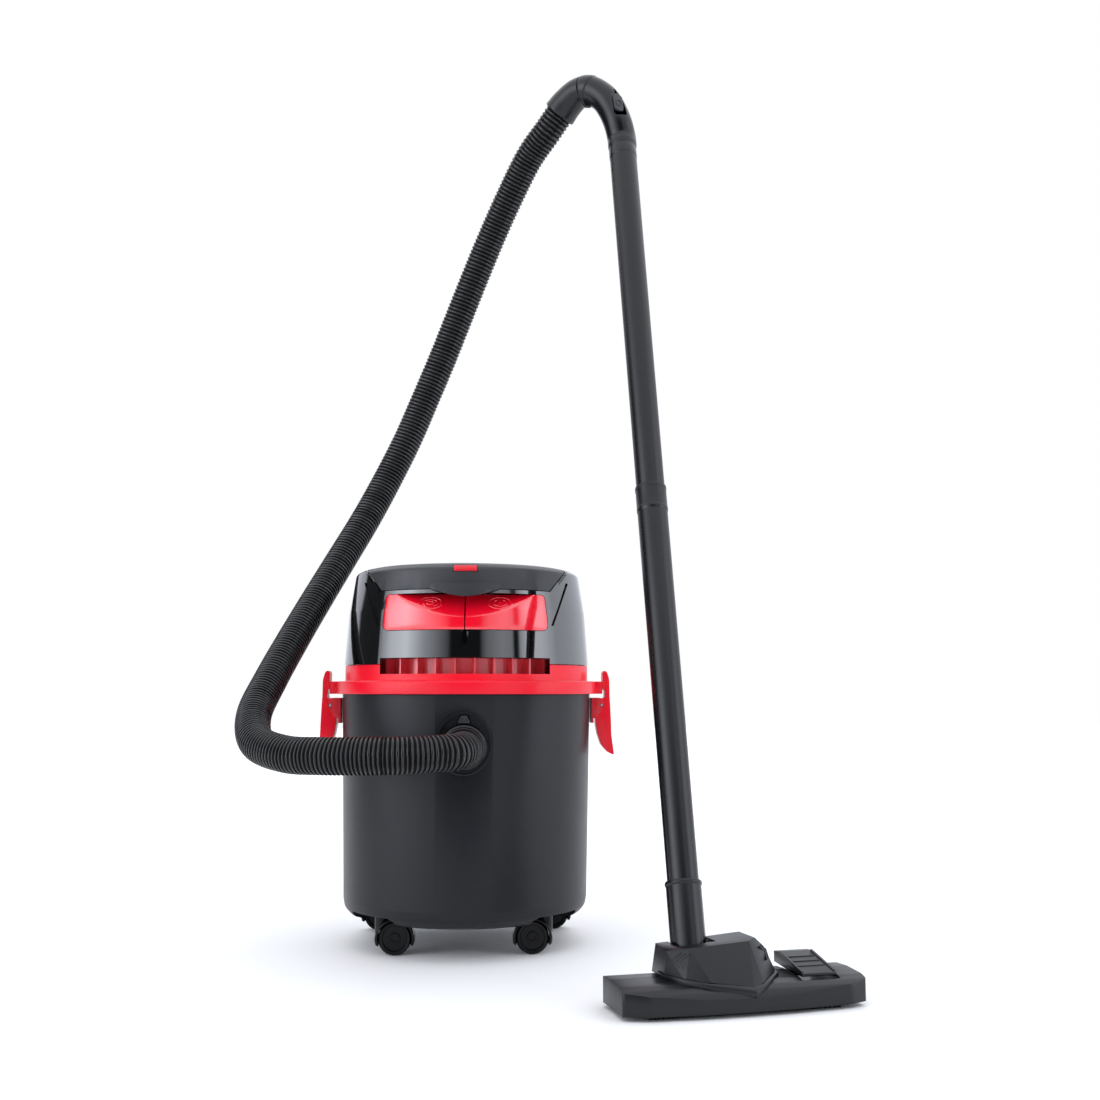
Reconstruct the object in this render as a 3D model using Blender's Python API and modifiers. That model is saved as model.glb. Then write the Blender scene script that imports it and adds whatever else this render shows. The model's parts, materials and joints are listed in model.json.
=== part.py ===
"""A wet and dry shop vacuum with its hose, wand and floor tool, as separate named pieces.

Metres, +Z up. The design is drawn round the tank's axis with the floor at Z = 0 and the front at -Y.
The last step moves everything so that the whole object stands over the world origin.
"""

import math

import bmesh
import bpy
import numpy as np
from mathutils import Matrix, Vector

# Driving dimensions, in metres.
GAP = 0.0003  # between two pieces that touch
WALL = 0.003
TANK_R_TOP, TANK_R_FOOT = 0.152, 0.147
TANK_UNDERSIDE, TANK_SHOULDER, TANK_LIP = 0.0356, 0.0556, 0.3020
RIM_R, RIM_BOTTOM, RIM_TOP = 0.1595, 0.2974, 0.3126
BAND_R, BAND_TOP = 0.1490, 0.3317
VENT_BOTTOM, VENT_TOP, VENT_HALF, VENT_R = 0.3204, 0.3387, 0.098, 0.120
SEAM_Y = -0.020  # where the front fascia meets the rear shell
BUTTON_LOW, BUTTON_HIGH, BUTTON_LOW_HALF, BUTTON_HIGH_HALF = 0.3705, 0.4117, 0.0965, 0.0912
# above this line the buttons lean back
CREASE_Y, CREASE_Z, CREASE_TILT = -0.1455, 0.3858, math.radians(44)
BROW_BOTTOM, BROW_LOW_HALF, BROW_HIGH_HALF = 0.4175, 0.098, 0.138
PIVOT_Y, PIVOT_Z, PIVOT_R = 0.0020, 0.4365, 0.0150  # the carry handle turns here, and is round about it
HEEL_Y = PIVOT_Y + PIVOT_R
BROW_THICK, POCKET_DEPTH, LIP_PROUD = 0.011, 0.024, 0.0045
# the handle narrows near its hinge, to swing freely
HINGE_HALF, HANDLE_STEP, POCKET_STEP = 0.1005, -0.0190, -0.0140
CASTER_X, CASTER_Y, CASTER_TRAIL = 0.0945, 0.080, 0.0155
WHEEL_R, WHEEL_W, HOOD_R, HOOD_W = 0.0190, 0.0075, 0.0228, 0.0260
INLET_Z, INLET_BORE, CONNECTOR_R = 0.2380, 0.0200, 0.0265
HOSE_D = 0.0400
HOSE_POINTS = 54
GRIP_R, CUFF_R = 0.0190, 0.0235
SLIDER_AT, SLIDER_FACING = Vector((0.1936, 0.0290, 1.0810)), Vector((0.47, -0.88, 0))
LATCH_Z, LATCH_X, LATCH_HALF = 0.2836, 0.1660, 0.017
LUG_X, LUG_HALF = 0.1672, 0.0150
WAND_TOP, WAND_FOOT = Vector((0.2009, 0.0313, 1.0153)), Vector((0.2237, -0.3000, 0.1070))
WAND_SPLIT = 0.530  # where the upper tube ends, as a share of the way down
TOOL_AT, TOOL_TURN = Vector((0.2663, -0.3439, 0.0)), math.radians(12.5)
SOLE_Z, NECK_Z = 0.0045, 0.0335

GRIP_ROUTE = (  # from the wand's top over the bend to where the hose starts
    (0.1952, 0.0375, 1.0560), (0.1868, 0.0430, 1.0790), (0.1767, 0.0492, 1.0962),
    (0.1600, 0.0591, 1.1105),
    (0.1444, 0.0700, 1.1110), (0.1300, 0.0810, 1.1010), (0.1195, 0.0885, 1.0892),
)
CUFF_SHARE = 0.72  # where along the grip's route the hose cuff starts
HOSE_ROUTE = (
    (0.0000, -0.1860, 0.2380), (0.0000, -0.2040, 0.2380), (-0.0120, -0.2330, 0.2360),
    (-0.0538, -0.2479, 0.2345),
    (-0.1008, -0.2450, 0.2335), (-0.1493, -0.2310, 0.2330), (-0.1895, -0.2069, 0.2341),
    (-0.2268, -0.1653, 0.2452),
    (-0.2400, -0.1147, 0.2737), (-0.2314, -0.0600, 0.3139), (-0.2150, -0.0006, 0.3636),
    (-0.1944, 0.0560, 0.4172),
    (-0.1699, 0.1080, 0.4747), (-0.1427, 0.1500, 0.5339), (-0.1159, 0.1752, 0.5929),
    (-0.0894, 0.1860, 0.6516),
    (-0.0657, 0.1900, 0.7101), (-0.0422, 0.1895, 0.7681), (-0.0198, 0.1850, 0.8255),
    (0.0026, 0.1771, 0.8818),
    (0.0258, 0.1650, 0.9366), (0.0510, 0.1460, 0.9892), (0.0785, 0.1210, 1.0386),
    (0.1040, 0.0985, 1.0690),
    (0.1195, 0.0885, 1.0892),
)

COLOURS = {  # name: (colour, roughness, metallic)
    "charcoal": ((0.030, 0.031, 0.035), 0.45, 0.0),
    "gloss_black": ((0.006, 0.006, 0.007), 0.08, 0.0),
    "dark_grey": ((0.045, 0.047, 0.053), 0.35, 0.0),
    "red": ((0.620, 0.012, 0.022), 0.28, 0.0),
    "black": ((0.010, 0.010, 0.011), 0.40, 0.0),
    "rubber": ((0.012, 0.012, 0.012), 0.75, 0.0),
    "steel": ((0.600, 0.600, 0.610), 0.25, 1.0),
    "copper": ((0.500, 0.260, 0.140), 0.35, 1.0),
    "paper": ((0.780, 0.760, 0.700), 0.85, 0.0),
    "white": ((0.800, 0.800, 0.780), 0.50, 0.0),
}


def clear_scene():
    for obj in list(bpy.data.objects):
        bpy.data.objects.remove(obj, do_unlink=True)


def collection(name):
    found = bpy.data.collections.new(name)
    bpy.context.scene.collection.children.link(found)
    return found


clear_scene()
PARTS, CUTTERS = collection("shop_vacuum"), collection("cutters")
CENTRE = bpy.data.objects.new("shop_vacuum_centre", None)
PARTS.objects.link(CENTRE)


def material(name):
    found = bpy.data.materials.get(name)
    if found:
        return found
    colour, rough, metal = COLOURS[name]
    found = bpy.data.materials.new(name)
    found.use_nodes = True
    shader = found.node_tree.nodes["Principled BSDF"]
    shader.inputs["Base Color"].default_value = (*colour, 1.0)
    shader.inputs["Roughness"].default_value = rough
    shader.inputs["Metallic"].default_value = metal
    return found


# Basic shapes. Each returns a mesh object that is not linked anywhere yet.


def from_bmesh(bm, name="shape"):
    mesh = bpy.data.meshes.new(name)
    bmesh.ops.recalc_face_normals(bm, faces=bm.faces)
    bm.to_mesh(mesh)
    bm.free()
    return bpy.data.objects.new(name, mesh)


def box(size, at=(0, 0, 0)):
    bm = bmesh.new()
    bmesh.ops.create_cube(bm, size=1.0, matrix=Matrix.Translation(at) @ Matrix.Diagonal((*size, 1)))
    return from_bmesh(bm)


def span_box(x, y, z):
    """A box between two X, two Y and two Z values."""
    size = [high - low for low, high in (x, y, z)]
    return box(size, [(low + high) / 2 for low, high in (x, y, z)])


def rod(radius, start, end, sides=24):
    """A round bar from one point to another."""
    start, end = Vector(start), Vector(end)
    along = end - start
    turn = along.to_track_quat("Z", "Y").to_matrix().to_4x4()
    place = Matrix.Translation((start + end) / 2) @ turn
    bm = bmesh.new()
    bmesh.ops.create_cone(
        bm, cap_ends=True, segments=sides, radius1=radius, radius2=radius, depth=along.length,
        matrix=place,
    )
    return from_bmesh(bm)


def turned(profile, steps=32, place=Matrix()):
    """A closed (radius, height) outline turned about Z. Points on the axis are merged."""
    bm = bmesh.new()
    loop = [bm.verts.new((r, 0, z)) for r, z in profile]
    for a, b in zip(loop, loop[1:] + loop[:1]):
        if a.co.x > 0 or b.co.x > 0:
            bm.edges.new((a, b))
    obj = from_bmesh(bm)
    screw = obj.modifiers.new("turn", "SCREW")
    screw.steps = screw.render_steps = steps
    screw.use_merge_vertices = True
    screw.merge_threshold = 0.0001
    solid = fixed(obj)
    solid.data.transform(place)
    return solid


def prism(outline, low, high, axis="Z"):
    """A flat outline pushed out from low to high along an axis: (X, Z) along Y, (Y, Z) along X."""
    bm = bmesh.new()
    points = {
        "Z": lambda a, b: (a, b, low),
        "Y": lambda a, b: (a, low, b),
        "X": lambda a, b: (low, a, b),
    }[axis]
    push = {"Z": (0, 0, high - low), "Y": (0, high - low, 0), "X": (high - low, 0, 0)}[axis]
    face = bm.faces.new([bm.verts.new(points(a, b)) for a, b in outline])
    made = bmesh.ops.extrude_face_region(bm, geom=[face])["geom"]
    bmesh.ops.translate(bm, vec=push, verts=[v for v in made if isinstance(v, bmesh.types.BMVert)])
    return from_bmesh(bm)


def tube(points, radius, resolution=3):
    """A round bar along points, capped at both ends."""
    curve = bpy.data.curves.new("tube", "CURVE")
    curve.dimensions = "3D"
    spline = curve.splines.new("POLY")
    spline.points.add(len(points) - 1)
    for point, at in zip(spline.points, points):
        point.co = (*at, 1.0)
    curve.bevel_depth = radius
    curve.bevel_resolution = resolution
    curve.use_fill_caps = True
    return bpy.data.objects.new("tube", curve)


def fixed(obj, weld=0.00001):
    """The object's evaluated shape as a plain closed mesh."""
    CUTTERS.objects.link(obj)
    bpy.context.view_layer.update()
    graph = bpy.context.evaluated_depsgraph_get()
    mesh = bpy.data.meshes.new_from_object(obj.evaluated_get(graph))
    mesh.transform(obj.matrix_world)
    data = obj.data
    bpy.data.objects.remove(obj, do_unlink=True)
    remover = bpy.data.curves if isinstance(data, bpy.types.Curve) else bpy.data.meshes
    remover.remove(data)
    bm = bmesh.new()
    bm.from_mesh(mesh)
    bmesh.ops.remove_doubles(bm, verts=bm.verts, dist=weld)
    bmesh.ops.recalc_face_normals(bm, faces=bm.faces)
    bm.to_mesh(mesh)
    bm.free()
    return bpy.data.objects.new("shape", mesh)


def boolean(obj, others, operation):
    for other in others:
        CUTTERS.objects.link(other)
        other.hide_render = True
        other.display_type = "WIRE"
        step = obj.modifiers.new(operation.lower(), "BOOLEAN")
        step.operation = operation
        step.object = other
    solid = fixed(obj)
    for other in others:
        CUTTERS.objects.unlink(other)
    return solid


def cut(obj, *others):
    return boolean(obj, others, "DIFFERENCE")


def join(obj, *others):
    return boolean(obj, others, "UNION")


def common(obj, *others):
    return boolean(obj, others, "INTERSECT")


def placed(obj, matrix):
    obj.data.transform(matrix)
    if matrix.determinant() < 0:
        obj.data.flip_normals()
    return obj


def rounded(obj, width, segments=1, angle=40):
    """Bevels the sharp edges and keeps the modifier on the object."""
    bevel = obj.modifiers.new("round", "BEVEL")
    bevel.width = width
    bevel.segments = segments
    bevel.limit_method = "ANGLE"
    bevel.angle_limit = math.radians(angle)
    bevel.use_clamp_overlap = True
    return obj


def part(name, obj, look, pivot=(0, 0, 0), smooth=True):
    """Names a piece, gives it its material and puts its origin on its pivot."""
    obj.name = obj.data.name = name
    PARTS.objects.link(obj)
    obj.data.materials.clear()
    obj.data.materials.append(material(look))
    if obj.type == "MESH":
        obj.data.transform(Matrix.Translation(-Vector(pivot)))
        if smooth:
            obj.data.shade_smooth()
            obj.data.set_sharp_from_angle(angle=math.radians(35))
    obj.location = pivot
    obj.parent = CENTRE
    return obj


def curve_through(route, count):
    """Points at even spacing along a smooth curve through the route."""
    route = [Vector(p) for p in route]
    ends = [2 * route[0] - route[1], *route, 2 * route[-1] - route[-2]]
    fine = []
    for i in range(1, len(ends) - 2):
        a, b, c, d = ends[i - 1 : i + 3]
        for k in range(12):
            t = k / 12
            bend, twist = 2 * a - 5 * b + 4 * c - d, 3 * b - a - 3 * c + d
            fine.append(0.5 * (2 * b + (c - a) * t + bend * t**2 + twist * t**3))
    fine.append(route[-1])
    run = np.concatenate([[0.0], np.cumsum([(b - a).length for a, b in zip(fine, fine[1:])])])
    wanted = np.linspace(0.0, run[-1], count)
    return [tuple(np.interp(wanted[k], run,
                            [p[j] for p in fine]) for j in range(3)) for k in range(count)]


# The tank and what it stands on.

CASTERS = {
    "front_left": (-CASTER_X, -CASTER_Y, 1),
    "front_right": (CASTER_X, -CASTER_Y, -1),
    "rear_left": (-CASTER_X, CASTER_Y, -1),
    "rear_right": (CASTER_X, CASTER_Y, 1),
}


def make_tank():
    outer = [
        (TANK_R_TOP, TANK_LIP), (TANK_R_FOOT, TANK_SHOULDER),
        (TANK_R_FOOT - 0.002, TANK_SHOULDER - 0.010),
        (TANK_R_FOOT - 0.008, TANK_UNDERSIDE + 0.003), (TANK_R_FOOT - 0.017, TANK_UNDERSIDE),
        (0, TANK_UNDERSIDE),
        (0, TANK_LIP),
    ]
    inner = [
        (TANK_R_TOP - WALL, TANK_LIP + 0.01), (TANK_R_FOOT - WALL, TANK_SHOULDER),
        (TANK_R_FOOT - 0.020, TANK_UNDERSIDE + WALL), (0, TANK_UNDERSIDE + WALL), (0, TANK_LIP + 0.01),
    ]
    cavity = turned(inner, 36)
    pockets = []
    for x, y, _ in CASTERS.values():
        cavity = cut(cavity, rod(0.0450, (x, y, 0.0), (x, y, 0.0495)),
                     rod(0.0090, (x, y, 0.0), (x, y, 0.0640)))
        pockets += [rod(0.0415, (x, y, 0.0), (x, y, 0.0460)),
                    rod(0.0043, (x, y, 0.0), (x, y, 0.0613), 12)]
    tank = cut(turned(outer, 36), cavity, *pockets)
    recess = placed(rod(1.0, (0, -0.17, 0), (0, -0.10, 0), 24), oval(0.0325, 0.0365))
    tank = cut(tank, recess)
    part("tank", tank, "charcoal")


def oval(half_width, half_height):
    """Turns a disc of radius 1 that faces the front into the inlet's upright oval."""
    return Matrix.Translation((0, 0, INLET_Z + 0.004)) @ Matrix.Diagonal((half_width, 1, half_height, 1))


def make_inlet():
    """An oval dish in the tank's front wall with the bore that the hose plugs into."""
    front, back = -0.1478, -0.1405
    dish = placed(rod(1.0, (0, front, 0), (0, back, 0), 24), oval(0.0320, 0.0360))
    hollow = placed(rod(1.0, (0, front - 0.01, 0), (0, back - 0.0025, 0), 24), oval(0.0290, 0.0330))
    spout = rod(INLET_BORE + 0.0025, (0, back - 0.001, INLET_Z), (0, -0.098, INLET_Z))
    bore = rod(INLET_BORE, (0, front, INLET_Z), (0, -0.09, INLET_Z))
    tab_slot = span_box((-0.0080, 0.0080), (front, back + 0.01), (INLET_Z + 0.0262, INLET_Z + 0.0363))
    part("inlet_socket", cut(join(cut(dish, hollow), spout), bore, tab_slot), "charcoal")

    plug_r = INLET_BORE - 0.0008
    profile = [
        (CONNECTOR_R, -0.1470), (CONNECTOR_R, -0.1530), (CONNECTOR_R - 0.0015, -0.1560),
        (0.0225, -0.1570),
        (0.0222, -0.1847), (0.0150, -0.1847), (0.0150, -0.1100), (plug_r, -0.1100), (plug_r, -0.1470),
    ]
    facing = Matrix.Translation((0, 0, INLET_Z)) @ Matrix.Rotation(math.radians(-90), 4, "X")
    connector = turned([(r, z) for r, z in profile], 32, facing)
    part("hose_connector", connector, "black", (0, -0.15, INLET_Z))

    outline = [(-0.0070, INLET_Z + 0.0270), (0.0070, INLET_Z + 0.0270), (0.0030, INLET_Z + 0.0355),
               (-0.0030, INLET_Z + 0.0355)]
    tab = prism(outline, -0.1560, -0.1434, "Y")
    part("connector_latch", rounded(tab, 0.0006), "dark_grey", (0, -0.1434, INLET_Z + 0.0355))


def hood_shape():
    """A caster's hood, drawn with its wheel's centre at the origin and its swivel axis at +X."""
    arc = [math.radians(a) for a in range(-20, 201, 22)]
    boss_x = CASTER_TRAIL
    outline = [(HOOD_R * math.cos(a), HOOD_R * math.sin(a)) for a in arc]
    body = prism(outline, -HOOD_W / 2, HOOD_W / 2, "Y")
    body = join(body, rod(0.0075, (boss_x, 0, 0.004), (boss_x, 0, 0.0262), 16))
    web = 0.0018
    wells = [
        rod(WHEEL_R + 0.0010, (0, side * web, 0), (0, side * (HOOD_W / 2 + 0.01), 0), 22) for side in (-1,
                                                                                                       1)
    ]
    axle = rod(0.0033, (0, -0.02, 0), (0, 0.02, 0), 16)
    stem = rod(0.0043, (boss_x, 0, -0.01), (boss_x, 0, 0.05), 12)
    return cut(body, *wells, axle, stem)


def wheel_shape():
    """Two wheels and their axle, turned about Y at the origin."""
    web, face = 0.0024, 0.0024 + WHEEL_W
    half = [(0, face), (WHEEL_R - 0.0015, face), (WHEEL_R, face - 0.0015), (WHEEL_R, web), (0.0028, web)]
    profile = half + [(r, -y) for r, y in reversed(half)]
    return turned(profile, 20, Matrix.Rotation(math.radians(90), 4, "X"))


def make_casters():
    for name, (x, y, toward) in CASTERS.items():
        centre = Vector((x + toward * CASTER_TRAIL, y, WHEEL_R))
        turn = Matrix.Rotation(math.radians(180 if toward > 0 else 0), 4, "Z")
        place = Matrix.Translation(centre) @ turn
        part(f"caster_hood_{name}", placed(hood_shape(), place), "black", (x, y, centre.z))
        part(f"caster_wheel_{name}", placed(wheel_shape(), place), "rubber", centre)
        stem = rod(0.0040, (x, y, 0.0365), (x, y, 0.0610), 12)
        part(f"caster_stem_{name}", stem, "steel", (x, y, 0.0365))


# The side latches.


def make_latches():
    for name, side in (("left", -1), ("right", 1)):
        flip = Matrix.Diagonal((side, 1, 1, 1))
        # The bracket stands on the tank wall and holds the pin between two cheeks.
        bracket = span_box((0.1530, 0.1560), (-LATCH_HALF, LATCH_HALF), (0.2620, 0.2925))
        cheek = [(0.1550, 0.2640), (0.1660, 0.2765), (0.1700, 0.2836), (0.1660, 0.2925), (0.1550, 0.2925)]
        cheeks = [prism(cheek, low, low + 0.004, "Y") for low in (-LATCH_HALF, LATCH_HALF - 0.004)]
        bracket = join(bracket, *cheeks)
        bracket = cut(bracket, rod(0.0020, (LATCH_X, -0.03, LATCH_Z), (LATCH_X, 0.03, LATCH_Z), 12))
        part(f"latch_bracket_{name}", placed(bracket, flip), "red")
        pin = rod(0.0017, (LATCH_X, -LATCH_HALF, LATCH_Z), (LATCH_X, LATCH_HALF, LATCH_Z), 12)
        part(f"latch_pin_{name}", placed(pin, flip), "steel")
        # The lever: a pad that clamps against the rim's lug, a strap, the hub and a long flared thumb
        # tail.
        outline = [
            (0.1677, 0.3040), (0.1677, 0.3235), (0.1700, 0.3262), (0.1733, 0.3240), (0.1760, 0.3150),
            (0.1762, 0.2950),
            (0.1768, 0.2857), (0.1777, 0.2647), (0.1784, 0.2461), (0.1815, 0.2225), (0.1734, 0.2262),
            (0.1655, 0.2349),
            (0.1610, 0.2480), (0.1592, 0.2600), (0.1592, 0.2800), (0.1610, 0.2890), (0.1705, 0.2930),
            (0.1705, 0.3010),
        ]
        half = LATCH_HALF - 0.0045
        lever = prism(outline, -half, half, "Y")
        lever = cut(lever, rod(0.0021, (LATCH_X, -0.03, LATCH_Z), (LATCH_X, 0.03, LATCH_Z), 12))
        part(f"latch_lever_{name}", placed(lever, flip), "red", (side * LATCH_X, 0, LATCH_Z))


# The head: base, shells, carry handle and buttons.

DOME = ((0.1500, 0.3320), (0.1451, 0.3950), (0.1374, 0.4420), (0.1300, 0.4462), (0.1200, 0.4485),
        (0.0850, 0.4520), (0, 0.4540))


def dome(inset, bottom=0.3320, steps=32):
    """The head's outer form, made smaller all over by the inset."""
    rim = [(max(r - inset, 0), z - inset * min(1.0, max(0.0, (z - 0.43) / 0.018))) for r, z in DOME]
    rim[0] = (rim[0][0], bottom)
    return turned([*rim[:-1], (0, DOME[-1][1] - inset), (0, bottom)], steps)


def brow_front(grow, back):
    """The front of the carry handle's place in the head: a trapezium seen from the front."""
    outline = [
        (-BROW_LOW_HALF - grow, BROW_BOTTOM - grow), (BROW_LOW_HALF + grow, BROW_BOTTOM - grow),
        (BROW_HIGH_HALF + grow, 0.470), (-BROW_HIGH_HALF - grow, 0.470),
    ]
    return prism(outline, -0.20, back, "Y")


def brow_region(grow, step, hinge_from):
    """All of the carry handle's place, with the narrower part round its hinge."""
    hinge = span_box((-HINGE_HALF - grow, HINGE_HALF + grow), (hinge_from, HEEL_Y + grow),
                     (BROW_BOTTOM - grow, 0.470))
    return join(brow_front(grow, step), hinge)


def make_head_base():
    flange = turned(
        [(RIM_R, RIM_TOP - 0.002), (RIM_R, RIM_BOTTOM), (TANK_R_TOP + 0.0006, RIM_BOTTOM),
         (TANK_R_TOP + 0.0006, 0.3060),
         (0.0320, 0.3060), (0.0320, 0.3120), (0.1460, 0.3120), (0.1460, BAND_TOP - GAP),
         (BAND_R, BAND_TOP - GAP),
         (BAND_R, RIM_TOP), (RIM_R - 0.002, RIM_TOP)],
        40,
    )
    window = cut(
        span_box((-VENT_HALF, VENT_HALF), (-0.18, -0.05), (VENT_BOTTOM, 0.36)),
        rod(VENT_R, (0, 0, 0.30), (0, 0, 0.37), 40)
    )
    grille = cut(
        rod(VENT_R, (0, 0, 0.3110), (0, 0, VENT_TOP), 40),
        rod(VENT_R - WALL, (0, 0, 0.30), (0, 0, 0.37), 40),
        span_box((-0.2, 0.2), (-0.055, 0.2), (0.30, 0.37)),
    )
    shelf = common(
        cut(rod(0.1470, (0, 0, 0.3175), (0, 0, VENT_BOTTOM), 48),
            rod(VENT_R - 0.001, (0, 0, 0.30), (0, 0, 0.37), 40)),
        span_box((-VENT_HALF - 0.003, VENT_HALF + 0.003), (-0.18, -0.055), (0.30, 0.37)),
    )
    sides = (-LUG_X, -0.155), (0.155, LUG_X)
    lugs = [span_box(span, (-LUG_HALF, LUG_HALF), (RIM_BOTTOM, RIM_TOP)) for span in sides]
    part("head_base", join(cut(flange, window), grille, shelf, *lugs), "red")
    part("tank_seal", turned([(0.1505, 0.3057), (0.1505, TANK_LIP + GAP), (0.1455, TANK_LIP + GAP),
                              (0.1455, 0.3057)], 32), "rubber")


def make_shells():
    far = 0.30
    front_half = span_box((-far, far), (-far, SEAM_Y - GAP / 2), (0.20, 0.60))
    rear_half = span_box((-far, far), (SEAM_Y + GAP / 2, far), (0.20, 0.60))
    skin = cut(dome(0.0), dome(WALL, 0.30))
    walls = common(cut(dome(0.0), dome(POCKET_DEPTH + 0.0025, 0.30)), brow_front(0.0030, HEEL_Y + 0.0030))
    pocket = cut(brow_region(0.0004, POCKET_STEP, HANDLE_STEP - 0.0045), dome(POCKET_DEPTH, 0.30))
    shell = cut(join(skin, walls), pocket)
    rear = shell.copy()
    rear.data = shell.data.copy()
    buttons = prism(button_outline(0.0005), -0.2, -0.08, "Y")
    vents = span_box((-VENT_HALF, VENT_HALF), (-0.2, -0.08), (0.31, VENT_TOP))
    under = span_box((-far, far), (-far, far), (0.30, 0.3322))
    part("front_fascia", cut(common(shell, front_half), buttons, vents), "gloss_black")
    gland = rod(0.0080, (0, 0.12, 0.3560), (0, 0.16, 0.3560), 16)
    seats = rod(0.0023, (-0.1085, PIVOT_Y, PIVOT_Z), (0.1085, PIVOT_Y, PIVOT_Z), 12)
    part("rear_shell", cut(common(rear, rear_half), gland, under, seats), "gloss_black")
    profile = [
        (0.0105, 0.0040), (0.0115, 0.0020), (0.0115, 0), (0.0074, 0), (0.0074, -0.0080),
        (0.0045, -0.0080),
        (0.0045, 0.0040),
    ]
    facing = Matrix.Translation((0, 0.1500, 0.3560)) @ Matrix.Rotation(math.radians(-90), 4, "X")
    part("cord_outlet", turned(profile, 16, facing), "rubber")


def make_carry_handle():
    block = common(cut(dome(0.0), dome(BROW_THICK, 0.30)),
                   brow_region(0.0, HANDLE_STEP, HANDLE_STEP - 0.005))
    heel = rod(PIVOT_R, (-0.13, PIVOT_Y, PIVOT_Z), (0.13, PIVOT_Y, PIVOT_Z), 20)
    block = common(block, join(span_box((-0.14, 0.14), (-0.20, PIVOT_Y), (0.40, 0.47)), heel))
    opening = span_box((-0.078, 0.078), (-0.088, 0.05), (0.30, 0.50))
    # The finger lip hangs down in front of the shell; above the brow's lower edge it is one with the
    # handle.
    edge = [(-0.0410, 0.4178), (-0.0300, 0.4125), (-0.0150, 0.4092), (0, 0.4080), (0.0150, 0.4092),
            (0.0300, 0.4125), (0.0410, 0.4178)]
    hanging = prism([*edge, (0.0410, 0.4235), (-0.0410, 0.4235)], -0.20, -0.10, "Y")
    root = span_box((-0.0410, 0.0410), (-0.20, -0.10), (BROW_BOTTOM + GAP, 0.4235))
    lip = common(cut(dome(-LIP_PROUD), dome(-0.0014, 0.30)), hanging)
    root = common(cut(dome(-LIP_PROUD), dome(0.0050, 0.30)), root)
    ears = [
        span_box((x - 0.006, x + 0.006), (PIVOT_Y - 0.006, PIVOT_Y + 0.006), (0.4305, 0.4440))
        for x in (-0.0940, 0.0940)
    ]
    handle = join(cut(block, opening), root, lip, *ears)
    handle = cut(handle, rod(0.0023, (-0.2, PIVOT_Y, PIVOT_Z), (0.2, PIVOT_Y, PIVOT_Z), 12))
    inlay_seat = cut(span_box((-0.0140, 0.0140), (-0.2, -0.12), (0.4372, 0.4450)), dome(0.0058, 0.30))
    part("carry_handle", cut(handle, inlay_seat), "dark_grey", (0, PIVOT_Y, PIVOT_Z))
    part("handle_rod", rod(0.0020, (-0.1068, PIVOT_Y, PIVOT_Z), (0.1068, PIVOT_Y, PIVOT_Z), 12), "steel")
    inlay = common(cut(dome(-0.0006), dome(0.0055, 0.30)),
                   span_box((-0.0137, 0.0137), (-0.2, -0.12), (0.4375, 0.4447)))
    part("handle_inlay", inlay, "red", (0, PIVOT_Y, PIVOT_Z))


def spring_points(start, length, radius, turns=4, per_turn=8):
    count = turns * per_turn
    return [
        (start[0] + radius * math.cos(2 * math.pi * k / per_turn), start[1] + length * k / count,
         start[2] + radius * math.sin(2 * math.pi * k / per_turn))
        for k in range(count + 1)
    ]


def button_outline(grow=0.0):
    """Both buttons seen from the front: a trapezium with clipped corners."""
    low_half, high_half = BUTTON_LOW_HALF + grow, BUTTON_HIGH_HALF + grow
    low, high = BUTTON_LOW - grow, BUTTON_HIGH + grow
    right = [(low_half - 0.0050, low), (low_half - 0.0005, low + 0.0045), (high_half, high - 0.0040),
             (high_half - 0.0035, high)]
    return right + [(-x, z) for x, z in reversed(right)]


def above_crease(drop=0.0):
    """A cutter for everything above the leaning face, sunk below it by the drop."""
    lean = Matrix.Translation((0, CREASE_Y, CREASE_Z)) @ Matrix.Rotation(CREASE_TILT, 4, "X")
    return placed(span_box((-0.3, 0.3), (-0.3, 0.3), (-drop, 0.3)), lean)


def make_buttons():
    middle = (BUTTON_LOW + BUTTON_HIGH) / 2
    back = -0.1050
    for name, side in (("rewind_button", -1), ("power_button", 1)):
        whole = span_box(sorted((side * 0.0008, side * 0.12)), (-0.2, back), (0.36, 0.42))
        hollow = span_box(sorted((side * 0.0038, side * 0.12)), (-0.2, 0.0), (0.36, 0.42))
        outer = cut(common(common(dome(-0.0010), prism(button_outline(), -0.2, back, "Y")), whole),
                    above_crease())
        inner = cut(common(common(dome(0.0040, 0.30), prism(button_outline(-0.0030), -0.2, 0.0, "Y")),
                           hollow), above_crease(0.0035))
        x = side * 0.045
        peg = rod(0.0030, (x, -0.1365, middle), (x, -0.1280, middle), 12)
        part(name, join(cut(outer, inner), peg), "red", (x, -0.14, middle))
        switch = span_box((x - 0.009, x + 0.009), (-0.1150, -0.1050), (middle - 0.010, middle + 0.010))
        part(name.replace("button", "switch"), switch, "white", (x, -0.11, middle))
        coil = fixed(tube(spring_points((x, -0.1265, middle), 0.0105, 0.0036), 0.0005, 0))
        part(name.replace("button", "spring"), coil, "steel", (x, -0.1265, middle))


# Inside the head and tank.


def make_motor():
    can = turned(
        [(0.0520, 0.3850), (0.0520, 0.3215), (0.0580, 0.3200), (0.0580, 0.3160), (0.0300, 0.3160),
         (0.0300, 0.3190),
         (0.0490, 0.3190), (0.0490, 0.3810), (0.0080, 0.3810), (0.0080, 0.3850)], 20)
    part("motor_housing", can, "black")
    rotor = turned(
        [(0, 0.3880), (0.0035, 0.3880), (0.0035, 0.3750), (0.0220, 0.3750), (0.0220, 0.3400),
         (0.0035, 0.3400),
         (0.0035, 0.3330), (0.0460, 0.3330), (0.0460, 0.3220), (0, 0.3220)], 16)
    part("motor_rotor", rotor, "copper", (0, 0, 0.35))
    part("motor_gasket", turned([(0.0560, 0.3157), (0.0560, 0.3123), (0.0340, 0.3123), (0.0340, 0.3157)],
                                20), "rubber")


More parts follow.
